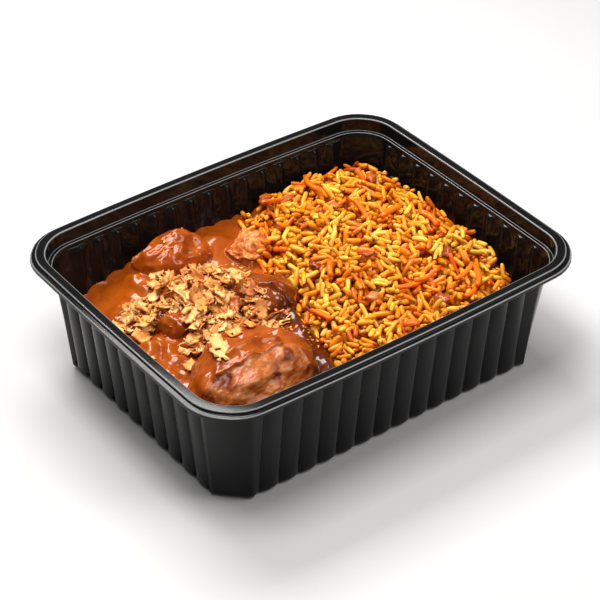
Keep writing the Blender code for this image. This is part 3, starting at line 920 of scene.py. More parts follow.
@dataclass(frozen=True)
class Layout:
    """Levels of the food and the line on plan where the sauce and the rice meet."""

    sauce_level: float = 37.0
    sauce_relief: float = 1.2
    sauce_relief_length: float = 22.0
    sauce_corner: Place = (-97.0, 74.0)
    sauce_corner_reach: float = 34.0
    sauce_corner_drop: float = 11.0
    sauce_hump: Place = (-11.0, 60.0)
    sauce_hump_reach: float = 11.0
    sauce_hump_rise: float = 6.5
    rice_level: float = 43.0
    rice_relief: float = 2.2
    rice_relief_length: float = 15.0
    rice_crest: float = 7.5
    rice_crest_at: Place = (42.0, 8.0)
    rice_crest_reach: Place = (44.0, 50.0)
    rice_near_corner: Place = (98.0, -66.0)
    rice_near_drop: float = 12.0
    rice_near_reach: float = 30.0
    rice_edge_reach: float = 28.0
    rice_edge_drop: float = 6.5
    border_x: float = -7.0
    border_slope: float = 0.28
    border_wave: float = 2.5
    border_wave_length: float = 9.0
    # Painted shade: the strip beside the rice where the sauce and chicken are painted dark.
    dark_strip: Path = ((-13.0, -14.0), (-19.0, -34.0), (-28.0, -64.0))
    dark_reach: float = 9.5

    def painted_shade_near_rice(self, x: float, y: float) -> float:
        """Return the painted shade on the sauce and chicken beside the rice, from 0 to 1."""
        return math.exp(-((path_distance(x, y, self.dark_strip) / self.dark_reach) ** 2))

    def border(self, y: float) -> float:
        """Return the X where the sauce side ends and the rice begins."""
        wave = self.border_wave * math.sin(y / self.border_wave_length)
        return self.border_x + self.border_slope * y + wave

    def sauce_top(self, x: float, y: float) -> float:
        """Find the level of the sauce, which sinks towards the far left corner.

        Args:
            x: the place in X.
            y: the place in Y.

        Returns:
            The level.
        """
        corner = math.hypot(x - self.sauce_corner[0], y - self.sauce_corner[1]) / self.sauce_corner_reach
        sink = self.sauce_corner_drop * math.exp(-(corner ** 2))
        hump = math.hypot(x - self.sauce_hump[0], y - self.sauce_hump[1]) / self.sauce_hump_reach
        rise = self.sauce_hump_rise * math.exp(-(hump ** 2))
        relief = self.sauce_relief * waves(x, y, self.sauce_relief_length, 1.3)
        return self.sauce_level - sink + rise + relief

    def rice_top(self, x: float, y: float) -> float:
        """Find the level of the rice heap.

        Args:
            x: the place in X.
            y: the place in Y.

        Returns:
            The level.
        """
        across = ((x - self.rice_crest_at[0]) / self.rice_crest_reach[0]) ** 2
        along = ((y - self.rice_crest_at[1]) / self.rice_crest_reach[1]) ** 2
        level = self.rice_level + self.rice_crest * math.exp(-across - along)
        corner = math.hypot(x - self.rice_near_corner[0], y - self.rice_near_corner[1])
        level -= self.rice_near_drop * math.exp(-((corner / self.rice_near_reach) ** 2))
        beside_sauce = min(1.0, max(0.0, 1.0 - (x - self.border(y)) / self.rice_edge_reach))
        level -= self.rice_edge_drop * beside_sauce ** 2
        return level + self.rice_relief * waves(x, y, self.rice_relief_length, 4.7)


LAYOUT = Layout()
TRAY = Tray()
CAVITY = Cavity(TRAY)


@dataclass(frozen=True)
class Fold:
    """A raised fold or a dip of the sauce along a path on plan."""

    path: Path
    width: float
    rise: float

    def height(self, x: float, y: float) -> float:
        """Return the fold's height over a place."""
        return self.rise * math.exp(-((path_distance(x, y, self.path) / self.width) ** 2))


class Cover(Enum):
    """How a piece of chicken is covered."""

    SAUCED = "sauced"
    HALF = "half"
    CRUSTED = "crusted"
    BARE = "bare"


@dataclass(frozen=True)
class ChickenPiece:
    """One piece of chicken as a rounded uneven lump, under sauce or bare."""

    node: str
    centre: Place
    crown: float
    half: Point
    turn: float
    seed: float
    cover: Cover
    folds: tuple[Fold, ...] = ()
    around: int = 260
    rings: int = 96
    lowest_turn: float = 112.0
    film: float = 0.55
    bare_sink: float = 0.8
    bare_from: float = 41.0
    lip: float = 0.75
    ragged: Place = (1.1, 0.3)
    steep_reach: Place = (6.0, 8.0)
    deepest: float = 0.95
    roast: float = 0.0
    # Painted shade laid over all of this piece's sauce.
    shade: float = 0.0
    crust: Path = ((-51.0, 70.0), (-43.0, 73.5), (-32.0, 74.0))
    crust_width: float = 4.6
    edge: Path = (
        (-92.0, -45.0), (-89.0, -43.9), (-84.0, -42.6), (-76.3, -43.2), (-68.6, -43.7), (-61.6, -44.4),
        (-55.0, -43.3), (-49.4, -43.5), (-41.0, -42.4), (-36.5, -46.3), (-35.0, -55.0), (-33.0, -66.0))

    def sauced(self, x: float, y: float, z: float) -> float:
        """Find how far a place lies inside the sauce film.

        Args:
            x: the place in X.
            y: the place in Y.
            z: the level.

        Returns:
            The distance inside the film, below 0 on bare flesh.
        """
        wander = 1.9 * noise.noise(Vector((x, y, z)) / 7.0) + 0.8 * noise.noise(Vector((x, y, z)) / 2.5)
        if self.cover is Cover.BARE:
            return self.bare_from - z + wander
        if self.cover is Cover.HALF:
            edge = np.interp(x, [place[0] for place in self.edge], [place[1] for place in self.edge])
            return y - float(edge) + wander
        if self.cover is Cover.CRUSTED:
            return path_distance(x, y, self.crust) - self.crust_width + 1.2 * wander
        return 9.0

    def place(self, direction: Vector) -> tuple[Vector, float, float, float]:
        """Find the surface in a direction from the lump's middle.

        Args:
            direction: a unit vector in the lump's own frame.

        Returns:
            The place in millimetres, and its sauce, browning and painted shade values.
        """
        swell = 1.0 + 0.16 * noise.noise(direction * 1.7 + Vector((self.seed, 0.0, 0.0)))
        swell += 0.06 * noise.noise(direction * 4.5 + Vector((0.0, self.seed, 0.0)))
        local = Vector([direction[k] * self.half[k] * swell for k in range(3)])
        spun = Matrix.Rotation(math.radians(self.turn), 3, "Z") @ local
        spot = spun + Vector((*self.centre, self.crown - self.half[2]))
        outward = spun.normalized()
        depth = self.sauced(*spot)
        film = float(smooth(depth / 0.9 + 0.5))
        lip = self.lip * math.exp(-(((depth - 0.9) / 1.1) ** 2))
        along = Matrix.Rotation(math.radians(-self.turn - 8.0), 3, "Z") @ spot
        fibre = noise.noise(Vector((along.x * 0.1, along.y * 0.7, along.z * 0.7 + self.seed)))
        crumb = noise.noise(spot / 2.2) + 0.5 * noise.noise(spot / 1.0)
        rough = self.ragged[0] if self.cover is Cover.CRUSTED else self.ragged[1]
        flesh = -self.bare_sink + 0.26 * fibre + 0.45 * noise.noise(spot / 6.5) + rough * crumb
        slack = noise.noise(spot / 11.0) + 0.4 * noise.noise(spot / 4.6) + 0.12 * noise.noise(spot / 1.5)
        coat = self.film * slack + lip + sum(fold.height(spot.x, spot.y) for fold in self.folds)
        offset = flesh * (1.0 - film) + coat * film
        patch = noise.noise(spot / 8.0 + Vector((3.0, 0.0, self.seed)))
        at_edge = math.exp(-(((depth + 1.0) / 1.6) ** 2))
        sear = max(0.0, patch * 2.0 - 0.35) + 0.2 * at_edge + 0.25 * max(0.0, -fibre)
        sear = min(1.0, max(0.0, sear + self.roast)) * (1.0 - film)
        # Painted shade: sauce darkens low on the piece near the pool, beside the rice and by the piece's
        # shade value.
        foot_shade = (LAYOUT.sauce_level + self.steep_reach[0] - spot.z) / self.steep_reach[1]
        foot_shade = min(1.0, max(0.0, foot_shade))
        if self.cover is Cover.BARE:
            offset += 1.8 * abs(noise.noise(spot / 6.5)) - 1.0 - 3.0 * max(0.0, outward.z - 0.7)
        depth = min(self.deepest, foot_shade * 0.8 + self.shade + 0.9 * LAYOUT.painted_shade_near_rice(spot.x, spot.y))
        return spot + outward * offset, film, sear, depth

    def build(self, material: Material) -> Piece:
        """Build the piece, with its crown at the pole and its foot under the sauce.

        Args:
            material: the finish.

        Returns:
            The piece.
        """
        points, film, sear, deep_and_shaded = [], [], [], []
        spots = [Vector((0.0, 0.0, 1.0))]
        for ring in range(1, self.rings + 1):
            down = math.radians(self.lowest_turn * ring / self.rings)
            for step in range(self.around):
                turn = math.tau * step / self.around
                out = math.sin(down)
                spots.append(Vector((out * math.cos(turn), out * math.sin(turn), math.cos(down))))
        for direction in spots:
            place, coat, brown, depth = self.place(direction)
            points.append(place)
            film.append(coat)
            sear.append(brown)
            deep_and_shaded.append(depth)
        loops = [[1 + ring * self.around + k for k in range(self.around)] for ring in range(self.rings)]
        crown = loops[0]
        faces: Faces = [(0, crown[k], crown[(k + 1) % self.around]) for k in range(self.around)]
        for upper, lower in zip(loops, loops[1:]):
            faces += band(lower, upper)
        faces.append(list(reversed(loops[-1])))
        piece = make_piece(self.node + "_piece", points, faces)
        paint(piece, "sauce", film)
        paint(piece, "browned", sear)
        paint(piece, "deep_and_shaded", deep_and_shaded)
        piece.data.materials.append(material)
        return piece


CHICKEN = (
    ChickenPiece("chicken_back", (-36.0, 61.5), 53.0, (23.0, 13.5, 19.0), -8.0, 3.1, Cover.CRUSTED,
                 folds=(Fold(((-50.0, 62.0), (-42.0, 64.0), (-30.0, 62.0)), 4.0, 1.6),
                        Fold(((-44.0, 56.0), (-34.0, 54.0), (-26.0, 55.0)), 3.2, -0.9))),
    ChickenPiece("chicken_bare_chunk", (2.0, 46.5), 49.5, (12.5, 12.0, 14.0), 20.0, 6.2, Cover.BARE,
                 roast=-0.3, around=180, rings=60),
    ChickenPiece("chicken_middle", (-17.0, 7.0), 51.0, (17.5, 16.5, 15.0), -25.0, 9.3, Cover.SAUCED,
                 folds=(Fold(((-34.0, 12.5), (-24.0, 10.0), (-16.5, 3.0), (-12.0, -8.0)), 1.3, 1.4),
                        Fold(((-30.0, 7.0), (-21.0, 4.5), (-17.0, -2.0)), 2.2, -1.0)),
                 shade=0.4, around=220, rings=80),
    ChickenPiece("chicken_side", (-62.0, 15.0), 46.5, (13.5, 12.0, 13.0), -20.0, 12.4, Cover.SAUCED,
                 shade=0.12, around=180, rings=60),
    ChickenPiece("chicken_front", (-58.0, -38.5), 57.0, (36.0, 27.5, 24.0), 12.0, 15.5, Cover.HALF,
                 folds=(Fold(((-70.0, -37.0), (-58.0, -36.0), (-50.0, -36.5), (-42.0, -38.0)), 1.5, 1.5),
                        Fold(((-56.0, -26.0), (-48.0, -29.5), (-40.0, -32.0)), 4.2, -2.4),
                        Fold(((-52.0, -16.0), (-42.0, -19.0), (-35.0, -27.0)), 3.6, 1.8),
                        Fold(((-72.0, -24.0), (-74.0, -34.0), (-80.0, -42.0)), 1.8, 0.8)),
                 roast=0.42),
)


@dataclass
class Terrain:
    """Heights of what already lies in the tray, on a square grid."""

    half_x: float = 106.0
    half_y: float = 84.0
    cell: float = 0.5
    heights: np.ndarray = field(init=False)

    def __post_init__(self) -> None:
        """Start with an empty grid."""
        columns = int(2 * self.half_x / self.cell) + 1
        rows = int(2 * self.half_y / self.cell) + 1
        self.heights = np.zeros((rows, columns))

    def axes(self) -> tuple[np.ndarray, np.ndarray]:
        """Return the grid's X and Y places."""
        rows, columns = self.heights.shape
        return np.arange(columns) * self.cell - self.half_x, np.arange(rows) * self.cell - self.half_y

    def fill(self, top: Callable[[float, float], float], coarse: int = 2) -> None:
        """Set the heights from a function.

        Args:
            top: gives the level over a place.
            coarse: how many cells lie between readings.
        """
        xs, ys = self.axes()
        knots = np.array([[top(float(x), float(y)) for x in xs[::coarse]] for y in ys[::coarse]])
        wide = np.array([np.interp(xs, xs[::coarse], row) for row in knots])
        self.heights = np.array([np.interp(ys, ys[::coarse], column) for column in wide.T]).T

    def at(self, x: np.ndarray, y: np.ndarray) -> np.ndarray:
        """Read the heights at places on plan.

        Args:
            x: their X.
            y: their Y.

        Returns:
            The heights.
        """
        rows, columns = self.heights.shape
        column = np.clip(((np.asarray(x) + self.half_x) / self.cell).round().astype(int), 0, columns - 1)
        row = np.clip(((np.asarray(y) + self.half_y) / self.cell).round().astype(int), 0, rows - 1)
        return self.heights[row, column]

    def rest_rod(self, x: float, y: float, turn: float, length: float, radius: float) -> Place:
        """Find how a rod comes to rest.

        Args:
            x: its middle on plan.
            y: its middle on plan.
            turn: the way it points on plan, in radians.
            length: its length.
            radius: its thickness from its middle line.

        Returns:
            The height of its middle and its slope.
        """
        along = np.linspace(-0.45, 0.45, 9) * length
        under = self.at(x + along * math.cos(turn), y + along * math.sin(turn))
        left, right = int(under[:4].argmax()), 5 + int(under[5:].argmax())
        slope = float(np.clip((under[right] - under[left]) / (along[right] - along[left]), -0.7, 0.7))
        base = float((under - slope * along).max())
        return base + 0.7 * radius, slope

    def raise_patch(self, x: float, y: float, turn: float, slope: float, z: float,
                    length: float, width: float, thickness: float) -> None:
        """Raise the heights where a piece now lies.

        Args:
            x: its middle in X.
            y: its middle in Y.
            turn: the way it points on plan.
            slope: its rise along its length.
            z: its middle's level.
            length: its length.
            width: its width.
            thickness: its thickness.
        """
        reach = int((length / 2 + 1.0) / self.cell) + 1
        rows, columns = self.heights.shape
        column, row = int((x + self.half_x) / self.cell), int((y + self.half_y) / self.cell)
        left, right = max(0, column - reach), min(columns, column + reach + 1)
        low, high = max(0, row - reach), min(rows, row + reach + 1)
        if left >= right or low >= high:
            return
        xs, ys = self.axes()
        across, up = np.meshgrid(xs[left:right] - x, ys[low:high] - y)
        along = across * math.cos(turn) + up * math.sin(turn)
        aside = (up * math.cos(turn) - across * math.sin(turn)) / (width / 2)
        inside = (np.abs(along) < length / 2) & (np.abs(aside) < 1.0)
        top = z + slope * along + thickness / 2 * np.sqrt(np.clip(1.0 - aside ** 2, 0.0, 1.0))
        patch = self.heights[low:high, left:right]
        patch[inside] = np.maximum(patch[inside], top[inside])


@dataclass
class Cloud:
    """Places of small pieces of one kind, with the turn, size, shape and tint of each."""

    places: list[Point] = field(default_factory=list)
    turns: list[Point] = field(default_factory=list)
    sizes: list[Point] = field(default_factory=list)
    kinds: list[int] = field(default_factory=list)
    tints: list[float] = field(default_factory=list)

    def put(self, place: Point, turn: Point, size: Point, kind: int, tint: float) -> None:
        """Add one piece.

        Args:
            place: its middle.
            turn: its turn about each axis.
            size: its stretch along each axis.
            kind: the number of its shape.
            tint: its tone from 0 to 1.
        """
        self.places.append(place)
        self.turns.append(turn)
        self.sizes.append(size)
        self.kinds.append(kind)
        self.tints.append(tint)

    def mesh_object(self, name: str) -> Piece:
        """Turn the cloud into loose vertices that carry its values.

        Args:
            name: the object's name.

        Returns:
            The object.
        """
        piece = make_piece(name, self.places, [])
        for label, values in (("turn", self.turns), ("size", self.sizes)):
            layer = piece.data.attributes.new(label, "FLOAT_VECTOR", "POINT")
            layer.data.foreach_set("vector", np.asarray(values, np.float32).ravel())
        layer = piece.data.attributes.new("kind", "INT", "POINT")
        layer.data.foreach_set("value", np.asarray(self.kinds, np.int32))
        paint(piece, "tint", self.tints)
        return piece


@dataclass
class Scatter:
    """Puts copies of small shapes on a cloud with a tree of geometry nodes."""

    name: str
    shapes: list[Piece]
    spread: float = 0.08
    seed: int = 3

    def tree(self) -> bpy.types.NodeTree:
        """Build the tree once, with named inputs for what it takes.

        Returns:
            The tree.
        """
        if "scatter shapes" in bpy.data.node_groups:
            return bpy.data.node_groups["scatter shapes"]
        tree = bpy.data.node_groups.new("scatter shapes", "GeometryNodeTree")
        for label, kind in (("Geometry", "NodeSocketGeometry"), ("Shapes", "NodeSocketCollection"),
                            ("Size", "NodeSocketFloat"), ("Spread", "NodeSocketFloat"),
                            ("Seed", "NodeSocketInt"), ("Finish", "NodeSocketMaterial")):
            tree.interface.new_socket(label, in_out="INPUT", socket_type=kind)
        tree.interface.new_socket("Geometry", in_out="OUTPUT", socket_type="NodeSocketGeometry")
        graph = Graph(tree)
        start = graph.add("NodeGroupInput").outputs
        stored = {}
        for label, kind in (("turn", "FLOAT_VECTOR"), ("size", "FLOAT_VECTOR"), ("kind", "INT")):
            stored[label] = graph.add("GeometryNodeInputNamedAttribute", {"Name": label}, data_type=kind)
        turn = graph.add("FunctionNodeEulerToRotation", {"Euler": stored["turn"].outputs["Attribute"]})
        low = graph.add("ShaderNodeMath", {0: 1.0, 1: start["Spread"]}, operation="SUBTRACT")
        high = graph.add("ShaderNodeMath", {0: 1.0, 1: start["Spread"]}, operation="ADD")
        chance = graph.add("FunctionNodeRandomValue", data_type="FLOAT")
        for socket, value in ((chance.inputs[2], low.outputs[0]), (chance.inputs[3], high.outputs[0]),
                              (chance.inputs["Seed"], start["Seed"])):
            tree.links.new(value, socket)
        grown = graph.add("ShaderNodeMath", {0: chance.outputs[1], 1: start["Size"]}, operation="MULTIPLY")
        size = graph.add("ShaderNodeVectorMath", {0: stored["size"].outputs["Attribute"],
                                                  "Scale": grown.outputs[0]}, operation="SCALE")
        shapes = graph.add("GeometryNodeCollectionInfo", {
            "Collection": start["Shapes"], "Separate Children": True, "Reset Children": True})
        copies = graph.add("GeometryNodeInstanceOnPoints", {
            "Points": start["Geometry"], "Instance": shapes.outputs["Instances"], "Pick Instance": True,
            "Instance Index": stored["kind"].outputs["Attribute"], "Rotation": turn.outputs["Rotation"],
            "Scale": size.outputs["Vector"]})
        real = graph.add("GeometryNodeRealizeInstances", {"Geometry": copies.outputs["Instances"]})
        dressed = graph.add("GeometryNodeSetMaterial", {"Geometry": real.outputs["Geometry"],
                                                        "Material": start["Finish"]})
        graph.add("NodeGroupOutput", {"Geometry": dressed.outputs["Geometry"]})
        return tree

    def build(self, cloud: Cloud, material: Material) -> Piece:
        """Turn a cloud into one plain mesh of real copies.

        Args:
            cloud: the places of the copies.
            material: their finish.

        Returns:
            The finished piece.
        """
        piece = cloud.mesh_object(self.name)
        shelf = bpy.data.collections.new(self.name + " shapes")
        for shape in self.shapes:
            shelf.objects.link(shape)
            bpy.context.scene.collection.objects.unlink(shape)
        step = piece.modifiers.new("scatter", "NODES")
        step.node_group = self.tree()
        given = {"Shapes": shelf, "Size": 1.0, "Spread": self.spread, "Seed": self.seed, "Finish": material}
        for item in step.node_group.interface.items_tree:
            if item.in_out == "INPUT" and item.name in given:
                step[item.identifier] = given[item.name]
        view = bpy.context.evaluated_depsgraph_get()
        solid = bpy.data.meshes.new_from_object(piece.evaluated_get(view))
        piece.modifiers.clear()
        piece.data = solid
        for shape in self.shapes:
            bpy.data.objects.remove(shape, do_unlink=True)
        bpy.data.collections.remove(shelf)
        return piece


def grain_shape(name: str, length: float, radius: float, bend: float, sides: int = 7) -> Piece:
    """Build one cooked rice grain along X.

    Args:
        name: the shape's name.
        length: its length.
        radius: its half thickness at the middle.
        bend: how far its middle lies off its ends' line.
        sides: the number of faces round it.

    Returns:
        The shape as an object.
    """
    stations = ((-0.488, 0.36), (-0.45, 0.66), (-0.36, 0.89), (-0.14, 1.0),
                (0.16, 1.0), (0.37, 0.87), (0.455, 0.62), (0.49, 0.32))
    points: list[Point] = []
    for place, share in stations:
        for side in range(sides):
            turn = math.tau * side / sides
            sag = bend * (1.0 - (2.0 * place) ** 2)
            aside, up = share * radius * math.cos(turn), share * radius * 0.88 * math.sin(turn)
            points.append((place * length, aside + sag, up))
    loops = [[k * sides + side for side in range(sides)] for k in range(len(stations))]
    faces: Faces = []
    for first, second in zip(loops, loops[1:]):
        faces += band(second, first)
    for loop, end, flip in ((loops[0], -0.5, False), (loops[-1], 0.5, True)):
        points.append((end * length, 0.0, 0.0))
        tip = len(points) - 1
        for side in range(sides):
            pair = (loop[side], loop[(side + 1) % sides])
            faces.append((pair[1], pair[0], tip) if not flip else (pair[0], pair[1], tip))
    return make_piece(name, points, faces)


def ribbon_shape(name: str, line: Sequence[Vector], widths: Sequence[float], thickness: float, seed: float,
                 crumple: float, across: int = 4, lean: float = 0.0) -> Piece:
    """Build a thin ribbon or chip along a line.

    Args:
        name: the shape's name.
        line: the places of its middle line.
        widths: its width at each of them.
        thickness: its thickness.
        seed: picks its own unevenness.
        crumple: how far its surface is crumpled.
        across: the number of places across its width.
        lean: how far its width leans out of the flat, in radians.

    Returns:
        The shape as an object, with an edge value for its rim.
    """
    points: list[Vector] = []
    edges: list[float] = []
    loops = []
    for index, place in enumerate(line):
        ahead = line[min(index + 1, len(line) - 1)] - line[max(index - 1, 0)]
        side = Vector((-ahead.y, ahead.x, 0.0)).normalized() * math.cos(lean)
        side += Vector((0.0, 0.0, math.sin(lean)))
        up = ahead.cross(side).normalized()
        loop = []
        order = [*range(across + 1), *reversed(range(across + 1))]
        for count, step in enumerate(order):
            part = step / across - 0.5
            face = 1.0 if count > across else -1.0
            spot = place + side * (part * widths[index])
            spot += up * (face * thickness / 2 * (1.0 - 1.2 * part * part))
            shake = noise.noise_vector(spot / 3.2 + Vector((seed, 0.0, 0.0)))
            fine = noise.noise_vector(spot / 1.3 + Vector((0.0, seed, 0.0)))
            loop.append(len(points))
            points.append(spot + shake * crumple + fine * crumple * 0.35)
            near_end = min(index, len(line) - 1 - index) == 0
            edges.append(1.0 if near_end else float(smooth((abs(part) - 0.2) / 0.3)))
        loops.append(loop)
    faces: Faces = []
    for first, second in zip(loops, loops[1:]):
        faces += band(first, second)
    faces += [list(reversed(loops[0])), list(loops[-1])]
    piece = make_piece(name, points, faces)
    paint(piece, "edge", edges)
    return piece


def sheet_shape(name: str, length: float, width: float, curl: float, seed: float, thickness: float,
                cell: float = 1.15) -> Piece:
    """Build a thin curled sheet with a ragged outline and a few holes.

    Args:
        name: the shape's name.
        length: its size along X before it curls.
        width: its size along Y.
        curl: the angle that it curls through along its length.
        seed: picks its own outline.
        thickness: its thickness.
        cell: the size of its faces.

    Returns:
        The shape as an object, with an edge value for its rim.
    """
    across, up = max(4, round(length / cell)), max(3, round(width / cell))

    def kept(i: int, j: int) -> bool:
        """Tell whether a cell belongs to the sheet.

        Args:
            i: its number along X.
            j: its number along Y.

        Returns:
            Whether it is kept.
        """
        if not (0 <= i < across and 0 <= j < up):
            return False
        u, v = (2 * i + 1) / across - 1.0, (2 * j + 1) / up - 1.0
        outline = 1.12 - u * u - v * v * 0.8 + 0.75 * noise.noise(Vector((u * 1.6, v * 1.6, seed)))
        return outline > 0.0 and noise.noise(Vector((i * 0.62, j * 0.62, seed + 40.0))) < 0.42

    cells = [(i, j) for i in range(across) for j in range(up) if kept(i, j)]
    corners = sorted({(i + a, j + b) for i, j in cells for a in (0, 1) for b in (0, 1)})
    number = {corner: index for index, corner in enumerate(corners)}
    radius = length / curl
    tops, bottoms, edges = [], [], []
    for i, j in corners:
        shake = noise.noise_vector(Vector((i * 0.9, j * 0.9, seed + 9.0)))
        x = (i / across - 0.5) * length + 0.55 * shake.x
        y = (j / up - 0.5) * width + 0.55 * shake.y
        turn = x / radius
        wave = 1.0 * noise.noise(Vector((x / 3.4, y / 3.4, seed))) + 0.4 * shake.z
        normal = Vector((-math.sin(turn), 0.0, math.cos(turn)))
        middle = Vector((radius * math.sin(turn), y, radius * (1.0 - math.cos(turn)))) + normal * wave
        around = sum(kept(i - a, j - b) for a in (0, 1) for b in (0, 1))
        thin = 0.5 if around < 4 else 1.0
        tops.append(middle + normal * thickness / 2 * thin)
        bottoms.append(middle - normal * thickness / 2 * thin)
        edges.append(1.0 if around < 4 else 0.0)
    count = len(corners)
    faces: Faces = []
    for i, j in cells:
        ring = [number[(i + a, j + b)] for a, b in ((0, 0), (1, 0), (1, 1), (0, 1))]
        faces.append(tuple(ring))
        faces.append(tuple(count + k for k in reversed(ring)))
        for k, (a, b) in enumerate(((0, -1), (1, 0), (0, 1), (-1, 0))):
            if not kept(i + a, j + b):
                first, second = ring[k], ring[(k + 1) % 4]
                faces.append((second, first, count + first, count + second))
    piece = make_piece(name, tops + bottoms, faces)
    paint(piece, "edge", edges + edges)
    return piece


def lump_shape(name: str, half: Point, seed: float, rough: float, level: int = 2) -> Piece:
    """Build a small rough lump, such as a bit of meat or a crumb.

    Args:
        name: the shape's name.
        half: its half sizes.
        seed: picks its own unevenness.
        rough: how uneven it is.
        level: how finely it is divided.

    Returns:
        The shape as an object.
    """
    ball = bmesh.new()
    bmesh.ops.create_icosphere(ball, subdivisions=level, radius=1.0)
    points = []
    for vertex in ball.verts:
        way = vertex.co.normalized()
        swell = 1.0 + rough * noise.noise(way * 1.9 + Vector((seed, 0.0, 0.0)))
        points.append([way[k] * half[k] * swell for k in range(3)])
    faces = [[vertex.index for vertex in face.verts] for face in ball.faces]
    ball.free()
    return make_piece(name, points, faces)


@dataclass
class Block:
    """A closed block of food under a height function, between two lines across the tray."""

    name: str
    top: Callable[[float, float], float]
    start: Callable[[float], float]
    end: Callable[[float], float]
    columns: int
    rows: int
    floor: float = 3.4
    finish_values: Callable[[float, float, float], float] | None = None

    def build(self, material: Material) -> Piece:
        """Build the block.

        Args:
            material: the finish.

        Returns:
            The block.
        """
        points: list[Point] = []
        plan: list[Place] = []
        for j in range(self.rows + 1):
            part = 2.0 * j / self.rows - 1.0
            y = CAVITY.reach_y * (0.7 * part + 0.3 * math.sin(math.pi / 2 * part))
            left, right = self.start(y), self.end(y)
            for i in range(self.columns + 1):
                x = left + (right - left) * i / self.columns
                z = self.top(x, y)
                plan.append((x, y))
                points.append(CAVITY.fitted(x, y, z))
        width = self.columns + 1
        faces: Faces = [
            (j * width + i, j * width + i + 1, (j + 1) * width + i + 1, (j + 1) * width + i)
            for j in range(self.rows) for i in range(self.columns)]
        rim = list(range(width))
        rim += [j * width + self.columns for j in range(1, self.rows + 1)]
        rim += [self.rows * width + i for i in reversed(range(self.columns))]
        rim += [j * width for j in reversed(range(1, self.rows))]
        foot = list(range(len(points), len(points) + len(rim)))
        points += [CAVITY.fitted(plan[k][0], plan[k][1], self.floor) for k in rim]
        faces += band(foot, rim)
        faces.append(list(reversed(foot)))
        piece = make_piece(self.name, points, faces)
        # The values darken the sauce where it lies low and paint shade beside the rice; zero where none are
        # given.
        values = [self.finish_values(*point) if self.finish_values else 0.0 for point in points]
        paint(piece, "deep_and_shaded", values)
        piece.data.materials.append(material)
        return piece


